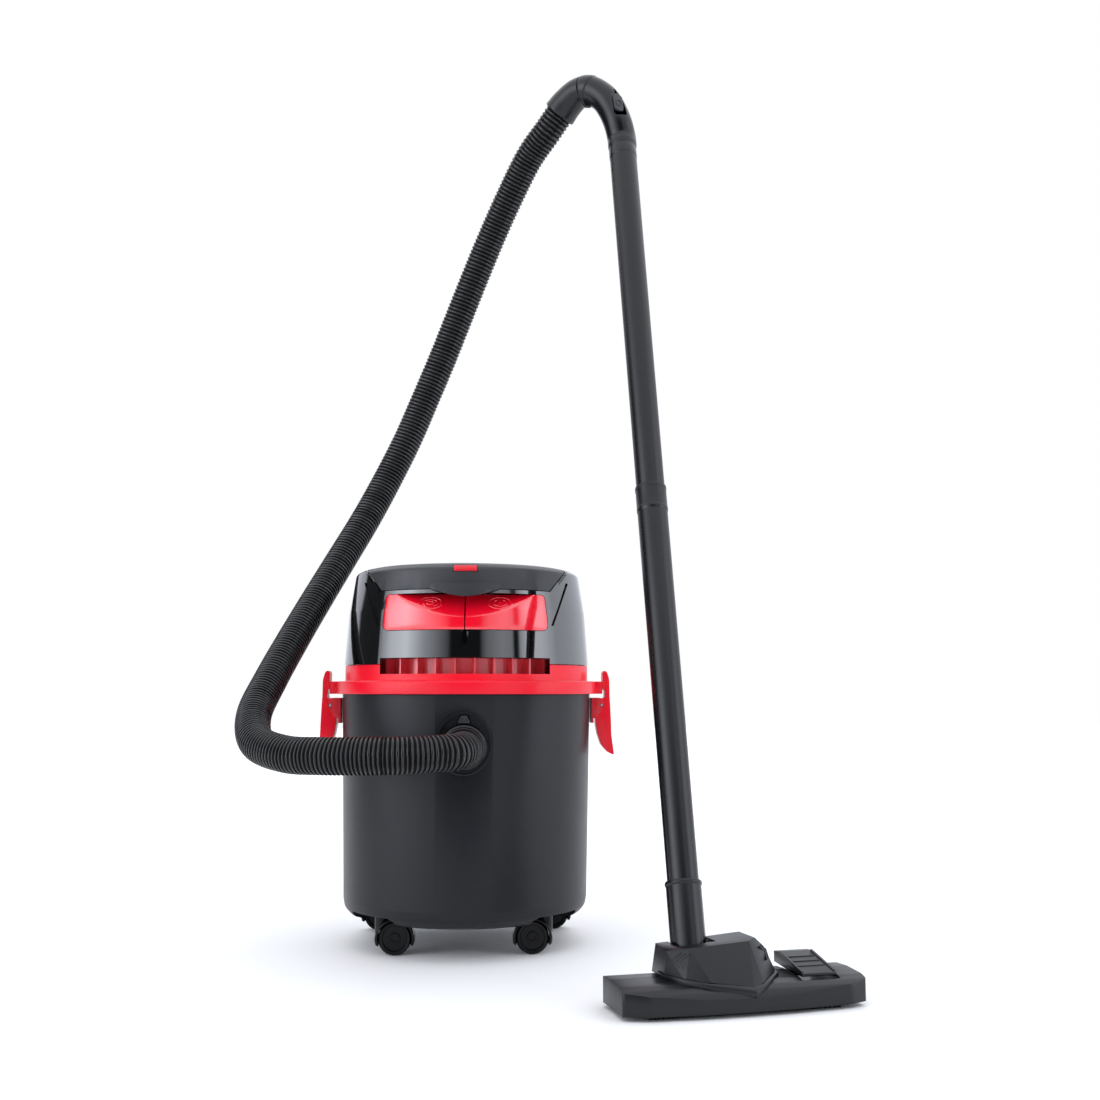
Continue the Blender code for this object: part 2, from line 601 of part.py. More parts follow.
def make_float():
    cage = turned(
        [(0.0390, 0.3057), (0.0390, 0.3020), (0.0260, 0.3000), (0.0260, 0.2150), (0.0230, 0.2120),
         (0.0140, 0.2120),
         (0.0140, 0.2150), (0.0230, 0.2150), (0.0230, 0.3057)], 16)
    windows = [span_box((-0.05, 0.05), (-0.0085, 0.0085), (0.2260, 0.2750)),
               span_box((-0.0085, 0.0085), (-0.05, 0.05), (0.2260, 0.2750))]
    part("float_cage", cut(cage, *windows), "white")
    bm = bmesh.new()
    bmesh.ops.create_uvsphere(bm, u_segments=14, v_segments=8, radius=0.0180,
                              matrix=Matrix.Translation((0, 0, 0.2345)))
    part("float_ball", from_bmesh(bm), "rubber", (0, 0, 0.2345))
    sleeve = turned([(0.0560, 0.3057), (0.0560, 0.1950), (0.0400, 0.1950), (0.0400, 0.3057)], 20)
    part("filter", sleeve, "paper")
    cap = turned([(0.0575, 0.1947), (0.0575, 0.1900), (0.0120, 0.1880), (0.0100, 0.1780), (0, 0.1780),
                  (0, 0.1947)], 20)
    part("filter_retainer", cap, "black", (0, 0, 0.1780))


REEL_Y = 0.0350


def make_reel():
    place = Matrix.Translation((0, REEL_Y, 0))
    spool = turned(
        [(0.0600, 0.4200), (0.0600, 0.4180), (0.0300, 0.4180), (0.0300, 0.4000), (0.0600, 0.4000),
         (0.0600, 0.3980),
         (0.0065, 0.3980), (0.0065, 0.4200)], 20, place)
    part("cord_reel", spool, "white", (0, REEL_Y, 0.41))
    axle = turned([(0.0060, 0.4245), (0.0060, 0.3920), (0.0140, 0.3900), (0.0140, 0.3890), (0, 0.3890),
                   (0, 0.4245)], 16, place)
    part("reel_axle", axle, "steel", (0, REEL_Y, 0.41))


# Hose, wand and floor tool.


def make_hose():
    part("hose", tube(curve_through(HOSE_ROUTE, HOSE_POINTS), HOSE_D / 2, 2), "black")


def grip_points():
    """The bent grip's centre line, leaving the wand in line with it and ending where the hose begins."""
    up = (WAND_TOP - WAND_FOOT).normalized()
    start = [WAND_TOP + up * GAP, WAND_TOP + up * 0.0200]
    points = [Vector(p) for p in curve_through([*start, *GRIP_ROUTE], 40)]
    points[-1] -= (points[-1] - points[-2]).normalized() * 2 * GAP
    return points


def beyond(point, normal):
    """A cutter that takes away everything past a plane."""
    point, normal = Vector(point), Vector(normal).normalized()
    return rod(0.12, point, point + normal * 0.12, 12)


def make_grip():
    points = grip_points()
    split = round(CUFF_SHARE * (len(points) - 1))
    joint, across = points[split], (points[split + 1] - points[split - 1]).normalized()
    up = (WAND_TOP - WAND_FOOT).normalized()
    hose_end, before = [Vector(p) for p in curve_through(HOSE_ROUTE, HOSE_POINTS)[:-3:-1]]
    handle, cuff = points[: split + 3 : 2], points[split - 2 :: 2]
    below = [handle[0] - up * 0.02, *handle]
    grip = cut(fixed(tube(below, GRIP_R, 3)),
               fixed(tube([below[0] - up * 0.01, *handle], GRIP_R - WALL, 1)))
    # The air slider sits in a flat on the front of the bend's lower leg.
    along = (points[6] - points[2]).normalized()
    out = (SLIDER_FACING - along * along.dot(SLIDER_FACING)).normalized()
    frame = Matrix((out, along.cross(out), along)).transposed().to_4x4()
    place = Matrix.Translation(SLIDER_AT) @ frame
    seat = placed(span_box((0.0, 0.02), (-0.0085, 0.0085), (-0.0240, 0.0240)), place)
    hook = placed(prism([(-0.0150, -0.0140), (-0.0100, -0.0235), (-0.0020, -0.0235), (0.0030, -0.0140)],
                        -0.003, 0.003, "Y"),
                  Matrix.Translation(points[split - 3]))
    ends = beyond(WAND_TOP + up * GAP, -up), beyond(joint - across * GAP / 2, across)
    part("handle_tube", cut(cut(join(grip, hook), seat), *ends), "black")
    slider = placed(span_box((GAP, 0.0035), (-0.0075, 0.0075), (-0.0160, 0.0100)), place)
    part("suction_slider", rounded(slider, 0.0012), "dark_grey", SLIDER_AT)
    past = [*cuff, cuff[-1] + (cuff[-1] - cuff[-2]) * 1.5]
    body = cut(fixed(tube(past, CUFF_R, 3)),
               fixed(tube([*past, 2 * past[-1] - past[-2]], CUFF_R - 2 * WALL, 1)))
    back = (before - hose_end).normalized()
    ends = beyond(joint + across * GAP / 2, -across), beyond(hose_end - back * GAP, back)
    part("hose_cuff", cut(body, *ends), "black", joint)


def along_wand(profile, steps=20):
    """Turns a (radius, metres below the wand's top) outline about the wand's axis."""
    down = (WAND_FOOT - WAND_TOP).normalized()
    place = Matrix.Translation(WAND_TOP) @ down.to_track_quat("Z", "Y").to_matrix().to_4x4()
    return turned(profile, steps, place)


def make_wand():
    length = (WAND_FOOT - WAND_TOP).length
    split = WAND_SPLIT * length
    upper = [(0.0150, 0.0), (0.0180, 0.0), (0.0180, 0.0150), (0.0176, 0.0200), (0.0163, split + 0.0400),
             (0.0135, split + 0.0400)]
    part("wand_upper", along_wand(upper), "black")
    low = split + GAP
    lower = [
        (0.0168, low), (0.0180, low), (0.0180, low + 0.0300), (0.0176, low + 0.0350),
        (0.0158, length + 0.0400), (0.0130, length + 0.0400),
        (0.0160, low + 0.0460), (0.0168, low + 0.0430),
    ]
    part("wand_lower", along_wand(lower), "black")


def pivot_point():
    """Where the wand's line meets the height of the tool's hinge."""
    down = WAND_FOOT - WAND_TOP
    return WAND_FOOT + down * ((NECK_Z - WAND_FOOT.z) / down.z)


TOOL = Matrix.Translation(TOOL_AT) @ Matrix.Rotation(TOOL_TURN, 4, "Z")
NECK_U, NECK_V, _ = TOOL.inverted() @ pivot_point()
PLAN = (
    (-0.1235, -0.0300), (-0.1000, -0.0385), (-0.0500, -0.0430), (0.0000, -0.0440), (0.0500, -0.0425),
    (0.1050, -0.0375),
    (0.1235, -0.0300), (0.1235, 0.0330), (0.1150, 0.0410), (-0.1150, 0.0410), (-0.1235, 0.0330),
)
SECTION = (
    (-0.0460, SOLE_Z), (-0.0460, 0.0140), (-0.0400, 0.0225), (-0.0200, 0.0285), (0.0100, 0.0300),
    (0.0360, 0.0285),
    (0.0430, 0.0200), (0.0430, SOLE_Z),
)
PEDAL_U, PEDAL_PIVOT = (0.0600, 0.0960), (0.0100, 0.0265)
BRUSH_V, BRUSH_HALF, BRUSH_TOP, BRUSH_LIFT = (-0.0290, 0.0290), 0.0980, 0.0105, 0.0040
ROLLER_U, ROLLER_V, ROLLER_R = 0.1120, 0.0300, 0.0075


def make_tool():
    body = common(prism(PLAN, SOLE_Z, 0.0320), prism(SECTION, -0.13, 0.13, "X"))
    mouth = span_box((-0.100, 0.100), (-0.0200, 0.0050), (0.0, 0.0150))
    duct = span_box((NECK_U - 0.012, NECK_U + 0.012), (-0.0100, NECK_V + 0.008), (0.0100, 0.0400))
    channel = span_box((NECK_U - 0.0205, NECK_U + 0.0225), (NECK_V - 0.0210, 0.06), (0.0160, 0.08))
    trunnion = rod(0.0045, (NECK_U - 0.028, NECK_V, NECK_Z), (NECK_U + 0.030, NECK_V, NECK_Z), 12)
    pedal_well = span_box((PEDAL_U[0] - 0.002, PEDAL_U[1] + 0.002), (-0.0270, 0.06), (0.0190, 0.05))
    pedal_pin = rod(0.0024, (PEDAL_U[0] - 0.006, *PEDAL_PIVOT), (PEDAL_U[1] + 0.006, *PEDAL_PIVOT), 12)
    slot_top = BRUSH_TOP + BRUSH_LIFT + 0.0005
    slots = [
        span_box((-BRUSH_HALF - 0.001, BRUSH_HALF + 0.001), (v - 0.0017, v + 0.0017), (0, slot_top))
        for v in BRUSH_V
    ]
    wells = []
    for side in (-1, 1):
        u = side * ROLLER_U
        wells.append(span_box((u - 0.0056, u + 0.0056), (ROLLER_V - 0.0085, 0.06), (0, 0.0165)))
        wells.append(rod(0.0021, (u - 0.0090, ROLLER_V, ROLLER_R), (u + 0.0090, ROLLER_V, ROLLER_R), 12))
        roller = rod(ROLLER_R, (u - 0.0050, ROLLER_V, ROLLER_R), (u + 0.0050, ROLLER_V, ROLLER_R), 20)
        roller = join(roller, rod(0.0018, (u - 0.0080, ROLLER_V, ROLLER_R),
                                  (u + 0.0080, ROLLER_V, ROLLER_R), 12))
        name = "tool_roller_" + ("left" if side < 0 else "right")
        part(name, placed(roller, TOOL), "rubber", TOOL @ Vector((u, ROLLER_V, ROLLER_R)))
    # cut one by one where tools overlap each other
    body = cut(cut(body, mouth, *slots), duct)
    body = cut(cut(body, channel, pedal_well), trunnion, pedal_pin)
    body = cut(cut(body, *wells[::2]), *wells[1::2])
    part("tool_body", placed(body, TOOL), "black")

    side_view = [(-0.0340, 0.0305), (-0.0340, 0.0370), (-0.0100, 0.0590), (0.0300, 0.0610),
                 (0.0390, 0.0540), (0.0390, 0.0305)]
    front_view = [(-0.0880, 0.0305), (-0.0870, 0.0420), (-0.0700, 0.0620), (0.0080, 0.0620),
                  (0.0370, 0.0440), (0.0420, 0.0305)]
    cover = common(prism(side_view, -0.13, 0.13, "X"), prism(front_view, -0.06, 0.06, "Y"))
    part("tool_cover", placed(cut(cut(cover, channel), trunnion), TOOL), "black")

    for name, v in zip(("front", "rear"), BRUSH_V):
        strip = span_box((-BRUSH_HALF, BRUSH_HALF), (v - 0.0013, v + 0.0013), (0.0, BRUSH_TOP))
        part(f"brush_{name}", placed(strip, TOOL), "black", TOOL @ Vector((0, v, BRUSH_TOP)))

    plate = prism(
        [(-0.0225, 0.0285), (-0.0225, 0.0315), (0.0300, 0.0425), (0.0420, 0.0415), (0.0420, 0.0375),
         (0.0290, 0.0380),
         (0.0150, 0.0340), (0.0140, 0.0235), (0.0060, 0.0235), (0.0040, 0.0330)], *PEDAL_U, "X")
    crests = (0.0000, 0.0362), (0.0120, 0.0387), (0.0240, 0.0412)
    ribs = [span_box(PEDAL_U, (v - 0.0015, v + 0.0015), (z - 0.002, z + 0.0015)) for v, z in crests]
    pin = rod(0.0020, (PEDAL_U[0] - 0.005, *PEDAL_PIVOT), (PEDAL_U[1] + 0.005, *PEDAL_PIVOT), 12)
    part("brush_pedal", placed(join(plate, *ribs, pin), TOOL), "black", TOOL
         @ Vector((0.078, *PEDAL_PIVOT)))


def make_neck():
    """The wand's foot: a collar over the lower tube and a knuckle that the floor tool tilts on."""
    down = (WAND_FOOT - WAND_TOP).normalized()
    pivot = pivot_point()
    length = (WAND_FOOT - WAND_TOP).length
    reach = (pivot - WAND_TOP).length
    collar = along_wand([
        (0.0163, length - 0.0040), (0.0183, length - 0.0040), (0.0188, length - 0.0010),
        (0.0180, length + 0.0020),
        (0.0176, reach - 0.006), (0.0120, reach - 0.002), (0.0120, length + 0.0430),
        (0.0163, length + 0.0410),
    ])
    across = Matrix.Translation(pivot) @ Matrix.Rotation(TOOL_TURN, 4, "Z")
    knuckle = placed(rod(0.0162, (-0.0180, 0, 0), (0.0180, 0, 0), 24), across)
    pins = placed(rod(0.0040, (-0.0260, 0, 0), (0.0280, 0, 0), 12), across)
    bore = rod(0.0110, pivot - down * 0.02, pivot + down * 0.03, 16)
    neck = cut(join(collar, knuckle, pins), bore)
    part("tool_neck", neck, "black", pivot)


def stand_on_origin():
    """Moves the object so that the box round all of it but the hose stands on the world origin."""
    bpy.context.view_layer.update()
    corners = [
        obj.matrix_world @ Vector(corner)
        for obj in PARTS.objects if obj.type == "MESH"
        for corner in obj.bound_box
    ]
    low, high = np.min(corners, axis=0), np.max(corners, axis=0)
    CENTRE.location = (-(low[0] + high[0]) / 2, -(low[1] + high[1]) / 2, 0)
    print("centre moved by", tuple(round(v, 5) for v in CENTRE.location), "lowest point",
          round(low[2], 5))


def main():
    make_tank()
    make_inlet()
    make_casters()
    make_latches()
    make_head_base()
    make_shells()
    make_carry_handle()
    make_buttons()
    make_motor()
    make_float()
    make_reel()
    make_hose()
    make_grip()
    make_wand()
    make_neck()
    make_tool()
    stand_on_origin()


main()
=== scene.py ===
"""The shop vacuum's looks: finely made pieces, materials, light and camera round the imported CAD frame."""

import json
import math

import bmesh
import bpy
import numpy as np
from mathutils import Matrix, Vector

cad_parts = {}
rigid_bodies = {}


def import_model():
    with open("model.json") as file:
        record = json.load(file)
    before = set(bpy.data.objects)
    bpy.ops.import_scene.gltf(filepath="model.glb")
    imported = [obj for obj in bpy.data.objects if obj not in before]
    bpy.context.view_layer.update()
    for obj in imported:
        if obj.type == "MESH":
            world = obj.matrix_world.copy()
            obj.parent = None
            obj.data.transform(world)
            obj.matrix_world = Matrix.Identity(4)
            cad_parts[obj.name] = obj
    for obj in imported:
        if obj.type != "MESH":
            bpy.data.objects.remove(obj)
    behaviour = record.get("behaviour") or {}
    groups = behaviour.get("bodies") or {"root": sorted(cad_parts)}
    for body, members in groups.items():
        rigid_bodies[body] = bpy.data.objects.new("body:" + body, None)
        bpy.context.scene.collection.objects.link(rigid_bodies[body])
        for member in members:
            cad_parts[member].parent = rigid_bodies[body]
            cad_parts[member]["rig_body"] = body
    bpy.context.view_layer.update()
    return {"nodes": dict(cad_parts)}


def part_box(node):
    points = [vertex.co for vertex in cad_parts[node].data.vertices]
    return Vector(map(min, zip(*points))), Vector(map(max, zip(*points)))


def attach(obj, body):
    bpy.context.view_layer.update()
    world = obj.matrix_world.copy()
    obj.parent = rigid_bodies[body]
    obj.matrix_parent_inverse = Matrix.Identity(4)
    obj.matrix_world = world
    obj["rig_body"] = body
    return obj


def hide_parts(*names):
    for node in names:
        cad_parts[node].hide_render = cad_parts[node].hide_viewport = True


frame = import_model()
TANK_LOW, TANK_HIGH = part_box("tank")
# where the tank's axis meets the floor
AXIS = Vector(((TANK_LOW.x + TANK_HIGH.x) / 2, (TANK_LOW.y + TANK_HIGH.y) / 2, 0.0))
HOME = Matrix.Translation(AXIS)

# Driving dimensions, in metres from the tank's axis and the floor, as in the CAD.
TANK_R_TOP, TANK_R_FOOT, TANK_FLOOR, TANK_SHOULDER, TANK_LIP = 0.152, 0.147, 0.0356, 0.0556, 0.302
RIM_R, RIM_BOTTOM, RIM_TOP, BAND_R, BAND_TOP = 0.1595, 0.2974, 0.3126, 0.149, 0.3314
VENT_BOTTOM, VENT_TOP, VENT_HALF, VENT_R = 0.3204, 0.3387, 0.098, 0.12
SEAM_Y, WALL = -0.02, 0.003
BUTTON_LOW, BUTTON_HIGH, BUTTON_LOW_HALF, BUTTON_HIGH_HALF = 0.3705, 0.4117, 0.0965, 0.0912
BROW_LOW, BROW_LOW_HALF, BROW_HIGH_HALF, BROW_THICK, POCKET_DEPTH = 0.4175, 0.098, 0.138, 0.011, 0.024
HINGE_HALF, HANDLE_STEP, POCKET_STEP = 0.1005, -0.019, -0.014
PIVOT_Y, PIVOT_Z, PIVOT_R = 0.002, 0.4365, 0.015
DOME = ((0.15, 0.332), (0.1451, 0.395), (0.1374, 0.442), (0.13, 0.4462), (0.12, 0.4485), (0.085, 0.452),
        (0, 0.454))
CASTERS = {"front_left": (-0.0945, -0.08, 1), "front_right": (0.0945, -0.08, -1),
           "rear_left": (-0.0945, 0.08, -1), "rear_right": (0.0945, 0.08, 1)}
CASTER_TRAIL, WHEEL_R, WHEEL_W, HOOD_R, HOOD_W = 0.0155, 0.019, 0.0075, 0.0228, 0.026
INLET_Z = 0.238
LATCH_X, LATCH_Z, LATCH_HALF = 0.166, 0.2836, 0.017
WAND_TOP, WAND_FOOT, WAND_SPLIT = Vector((0.2009, 0.0313, 1.0153)), Vector((0.2237, -0.3, 0.107)), 0.53
TOOL_AT, TOOL_TURN, SOLE_Z, NECK_Z = Vector((0.2663, -0.3439, 0.0)), math.radians(12.5), 0.0045, 0.0335
HOSE_D, PITCH_LOW, PITCH_HIGH, RIB_DEPTH = 0.04, 0.0044, 0.0056, 0.0018
GRIP_R, CUFF_SHARE = 0.019, 0.72
SLIDER_AT, SLIDER_FACING = Vector((0.1936, 0.029, 1.081)), Vector((0.47, -0.88, 0))

GRIP_ROUTE = (  # from the wand's top over the bend to where the hose starts
    (0.1952, 0.0375, 1.056), (0.1868, 0.043, 1.079), (0.1767, 0.0492, 1.0962), (0.16, 0.0591, 1.1105),
    (0.1444, 0.07, 1.111), (0.13, 0.081, 1.101), (0.1195, 0.0885, 1.0892),
)
HOSE_ROUTE = (
    (0.0, -0.186, 0.238), (0.0, -0.204, 0.238), (-0.012, -0.233, 0.236), (-0.0538, -0.2479, 0.2345),
    (-0.1008, -0.245, 0.2335), (-0.1493, -0.231, 0.233), (-0.1895, -0.2069, 0.2341),
    (-0.2268, -0.1653, 0.2452),
    (-0.24, -0.1147, 0.2737), (-0.2314, -0.06, 0.3139), (-0.215, -0.0006, 0.3636), (-0.1944, 0.056, 0.4172),
    (-0.1699, 0.108, 0.4747), (-0.1427, 0.15, 0.5339), (-0.1159, 0.1752, 0.5929), (-0.0894, 0.186, 0.6516),
    (-0.0657, 0.19, 0.7101), (-0.0422, 0.1895, 0.7681), (-0.0198, 0.185, 0.8255), (0.0026, 0.1771, 0.8818),
    (0.0258, 0.165, 0.9366), (0.051, 0.146, 0.9892), (0.0785, 0.121, 1.0386), (0.104, 0.0985, 1.069),
    (0.1195, 0.0885, 1.0892),
)


def shift(by):
    return Matrix.Translation(by)


def spin(angle, axis):
    return Matrix.Rotation(angle, 4, axis)


# Materials. Every one is a Principled shader with its own node-made grain, tone and roughness.


def new_material(name, colour, rough, metallic=0.0, coat=0.0, specular=0.5):
    found = bpy.data.materials.new(name)
    found.use_nodes = True
    shader = found.node_tree.nodes["Principled BSDF"]
    shader.inputs["Base Color"].default_value = (*colour, 1.0)
    shader.inputs["Roughness"].default_value = rough
    shader.inputs["Metallic"].default_value = metallic
    shader.inputs["Coat Weight"].default_value = coat
    shader.inputs["Coat Roughness"].default_value = 0.04
    shader.inputs["Specular IOR Level"].default_value = specular
    return found, found.node_tree.nodes, found.node_tree.links, shader


def texture(nodes, links, kind, scale, **settings):
    coordinates = nodes.new("ShaderNodeTexCoord")
    found = nodes.new(kind)
    found.inputs["Scale"].default_value = scale
    for key, value in settings.items():
        found.inputs[key].default_value = value
    links.new(coordinates.outputs["Object"], found.inputs["Vector"])
    return found


def ranged(nodes, links, source, low, high):
    """Maps a 0 to 1 texture value to low..high."""
    found = nodes.new("ShaderNodeMapRange")
    found.inputs["To Min"].default_value = low
    found.inputs["To Max"].default_value = high
    links.new(source, found.inputs["Value"])
    return found.outputs["Result"]


def tinted(nodes, links, shader, source, dark, light):
    ramp = nodes.new("ShaderNodeValToRGB")
    ramp.color_ramp.elements[0].color = (*dark, 1.0)
    ramp.color_ramp.elements[1].color = (*light, 1.0)
    ramp.color_ramp.elements[0].position, ramp.color_ramp.elements[1].position = 0.3, 0.7
    links.new(source, ramp.inputs["Fac"])
    links.new(ramp.outputs["Color"], shader.inputs["Base Color"])


def bumped(nodes, links, shader, source, strength, distance):
    bump = nodes.new("ShaderNodeBump")
    bump.inputs["Strength"].default_value = strength
    bump.inputs["Distance"].default_value = distance
    links.new(source, bump.inputs["Height"])
    links.new(bump.outputs["Normal"], shader.inputs["Normal"])


def plastic(name, colour, rough, grain_scale, grain, tone=0.12, rough_spread=0.06, coat=0.0, specular=0.5):
    """Moulded plastic: a fine spark-eroded grain, slow tone drift and slightly uneven gloss."""
    found, nodes, links, shader = new_material(name, colour, rough, coat=coat, specular=specular)
    drift = texture(nodes, links, "ShaderNodeTexNoise", 9.0, Detail=3.0, Roughness=0.6)
    low = [c * (1 - tone) for c in colour]
    high = [min(1.0, c * (1 + tone)) for c in colour]
    tinted(nodes, links, shader, drift.outputs["Fac"], low, high)
    smudge = texture(nodes, links, "ShaderNodeTexNoise", 38.0, Detail=4.0, Roughness=0.65)
    uneven = ranged(nodes, links, smudge.outputs["Fac"], rough - rough_spread, rough + rough_spread)
    links.new(uneven, shader.inputs["Roughness"])
    fine = texture(nodes, links, "ShaderNodeTexNoise", grain_scale, Detail=2.0, Roughness=0.5)
    bumped(nodes, links, shader, fine.outputs["Fac"], grain, 0.0002)
    return found


def rubber(name, colour, rough):
    found, nodes, links, shader = new_material(name, colour, rough, specular=0.35)
    dust = texture(nodes, links, "ShaderNodeTexNoise", 60.0, Detail=6.0, Roughness=0.7)
    tinted(nodes, links, shader, dust.outputs["Fac"], [c * 0.8 for c in colour], [c * 1.7 for c in colour])
    pores = texture(nodes, links, "ShaderNodeTexVoronoi", 1400.0)
    bumped(nodes, links, shader, pores.outputs["Distance"], 0.25, 0.0002)
    return found


def metal(name, colour, rough, along=(1.0, 1.0, 30.0)):
    """Drawn or turned metal with fine lines across one direction."""
    found, nodes, links, shader = new_material(name, colour, rough, metallic=1.0)
    coordinates, mapping = nodes.new("ShaderNodeTexCoord"), nodes.new("ShaderNodeMapping")
    mapping.inputs["Scale"].default_value = along
    lines = nodes.new("ShaderNodeTexNoise")
    lines.inputs["Scale"].default_value = 220.0
    links.new(coordinates.outputs["Object"], mapping.inputs["Vector"])
    links.new(mapping.outputs["Vector"], lines.inputs["Vector"])
    links.new(ranged(nodes, links, lines.outputs["Fac"], rough * 0.6, rough * 1.5),
              shader.inputs["Roughness"])
    tinted(nodes, links, shader, lines.outputs["Fac"], [c * 0.85 for c in colour], colour)
    bumped(nodes, links, shader, lines.outputs["Fac"], 0.12, 0.0001)
    return found


def banded(name, light, dark, rough, scale, direction, bump=0.6):
    """Stripes along an axis, as in pleated paper, windings or bristles."""
    found, nodes, links, shader = new_material(name, light, rough)
    coordinates, wave = nodes.new("ShaderNodeTexCoord"), nodes.new("ShaderNodeTexWave")
    wave.bands_direction = direction
    wave.inputs["Scale"].default_value = scale
    wave.inputs["Distortion"].default_value = 1.2
    wave.inputs["Detail"].default_value = 2.0
    links.new(coordinates.outputs["Object"], wave.inputs["Vector"])
    tinted(nodes, links, shader, wave.outputs["Fac"], dark, light)
    bumped(nodes, links, shader, wave.outputs["Fac"], bump, 0.0006)
    return found


LOOKS = {
    "charcoal": plastic("charcoal_plastic", (0.0052, 0.0057, 0.0082), 0.38, 1500.0, 0.26, specular=0.32),
    "gloss": plastic("gloss_black_plastic", (0.002, 0.0021, 0.0025), 0.07, 700.0, 0.008, rough_spread=0.02,
                     coat=1.0, specular=1.0),
    "shell": plastic("satin_black_plastic", (0.006, 0.0062, 0.007), 0.3, 1200.0, 0.1),
    "brow": plastic("dark_grey_plastic", (0.026, 0.027, 0.031), 0.36, 1400.0, 0.16, specular=0.4),
    "red_gloss": plastic("gloss_red_plastic", (0.82, 0.003, 0.02), 0.14, 800.0, 0.01, tone=0.04,
                         rough_spread=0.03, coat=1.0, specular=0.8),
    "red": plastic("moulded_red_plastic", (0.82, 0.003, 0.02), 0.3, 900.0, 0.03, tone=0.04, rough_spread=0.04,
                   specular=0.35),
    # Painted light: the vent fins and wall are the head base's own red plastic, given a lighter, paler red
    # with more gloss so the shaded grille reads bright.
    "vent": plastic("vent_red_painted_light", (1.0, 0.06, 0.09), 0.4, 900.0, 0.02, tone=0.03, coat=0.6,
                    specular=1.0),
    "red_satin": plastic("satin_red_plastic", (0.62, 0.003, 0.016), 0.38, 1200.0, 0.1, tone=0.06),
    "black": plastic("satin_black_tube", (0.0026, 0.0029, 0.004), 0.27, 1300.0, 0.1, specular=0.4),
    "tool": plastic("tool_black_plastic", (0.003, 0.0033, 0.0046), 0.32, 1100.0, 0.18, specular=0.38),
    "hose": plastic("hose_plastic", (0.0026, 0.0028, 0.0038), 0.22, 900.0, 0.04, tone=0.25, specular=0.48),
    # Painted shade: the hose's valley faces take this darker, duller copy of the hose plastic.
    "hose_painted_shade": plastic("hose_painted_shade_plastic", (0.0006, 0.0006, 0.0007), 0.6, 900.0, 0.06, tone=0.25,
                           specular=0.12),
    "wheel": plastic("wheel_plastic", (0.0024, 0.0025, 0.003), 0.34, 1000.0, 0.1, specular=0.24),
    "rubber": rubber("black_rubber", (0.012, 0.012, 0.012), 0.72),
    "steel": metal("bright_steel", (0.62, 0.62, 0.64), 0.24),
    "copper": banded("copper_winding", (0.62, 0.3, 0.14), (0.25, 0.1, 0.05), 0.35, 260.0, "Z"),
    "paper": banded("pleated_paper", (0.82, 0.8, 0.74), (0.52, 0.5, 0.44), 0.85, 90.0, "X", 0.9),
    "white": plastic("white_plastic", (0.78, 0.78, 0.75), 0.45, 1200.0, 0.12, tone=0.04),
    "bristle": banded("bristles", (0.02, 0.02, 0.022), (0.004, 0.004, 0.004), 0.7, 420.0, "X", 1.0),
}


# Mesh helpers. Pieces are drawn about the tank's axis and moved home at the end.


def from_bmesh(bm):
    mesh = bpy.data.meshes.new("shape")
    bmesh.ops.recalc_face_normals(bm, faces=bm.faces)
    bm.to_mesh(mesh)
    bm.free()
    obj = bpy.data.objects.new("shape", mesh)
    bpy.context.scene.collection.objects.link(obj)
    return obj


def mesh_object(verts, faces):
    mesh = bpy.data.meshes.new("draft")
    mesh.from_pydata([tuple(v) for v in verts], [], faces)
    bm = bmesh.new()
    bm.from_mesh(mesh)
    bpy.data.meshes.remove(mesh)
    return from_bmesh(bm)


def both(half, middle=0.0):
    """The span that reaches half to either side of the middle."""
    return middle - half, middle + half


def trapezium(low_half, low, high_half, high):
    """Four corners, the same to the left and to the right of the middle."""
    return [(-low_half, low), (low_half, low), (high_half, high), (-high_half, high)]


def filleted(points, radius, segments=4, closed=True):
    """The outline with each corner rounded. radius is one number or one for each corner."""
    points = [np.array(p, float) for p in points]
    count = len(points)
    radii = [radius] * count if np.isscalar(radius) else list(radius)
    rounded = []
    for i, corner in enumerate(points):
        if (not closed and i in (0, count - 1)) or radii[i] <= 0:
            rounded.append(corner)
            continue
        before, after = points[i - 1] - corner, points[(i + 1) % count] - corner
        lb, la = np.linalg.norm(before), np.linalg.norm(after)
        before, after = before / lb, after / la
        angle = math.acos(max(-1.0, min(1.0, float(before @ after))))
        if math.pi - angle < 0.02:
            rounded.append(corner)
            continue
        back = min(radii[i] / math.tan(angle / 2), 0.49 * lb, 0.49 * la)
        start, end = corner + before * back, corner + after * back
        for k in range(segments + 1):
            t = k / segments
            rounded.append((1 - t) ** 2 * start + 2 * t * (1 - t) * corner + t**2 * end)
    return rounded


def turned(profile, steps=96, place=None, closed=True, start=0.0, sweep=2 * math.pi):
    """A (radius, height) outline turned about Z."""
    full = sweep > 2 * math.pi - 1e-6
    count = steps if full else steps + 1
    verts, faces, rings = [], [], []
    for r, z in profile:
        if r < 1e-7:
            rings.append([len(verts)] * count)
            verts.append((0.0, 0.0, z))
            continue
        rings.append(list(range(len(verts), len(verts) + count)))
        for k in range(count):
            a = start + sweep * k / steps
            verts.append((r * math.cos(a), r * math.sin(a), z))
    pairs = list(zip(rings, rings[1:] + rings[:1] if closed else rings[1:]))
    for low, high in pairs:
        for k in range(count if full else count - 1):
            n = (k + 1) % count
            face = [low[k], low[n], high[n], high[k]]
            unique = [v for i, v in enumerate(face) if v != face[i - 1]]
            if len(unique) > 2:
                faces.append(unique)
    obj = mesh_object(verts, faces)
    if place is not None:
        obj.data.transform(place)
    return obj


def prism(outline, low, high, axis="Z"):
    """A flat outline pushed out along an axis. Along Y it is (X, Z), along X it is (Y, Z)."""
    order = {"Z": (0, 1, 2), "Y": (0, 2, 1), "X": (2, 0, 1)}[axis]
    count = len(outline)
    verts = [[(a, b, c)[k] for k in order] for c in (low, high) for a, b in outline]
    faces = [list(range(count)), list(range(2 * count - 1, count - 1, -1))]
    faces += [[k, (k + 1) % count, count + (k + 1) % count, count + k] for k in range(count)]
    return mesh_object(verts, faces)


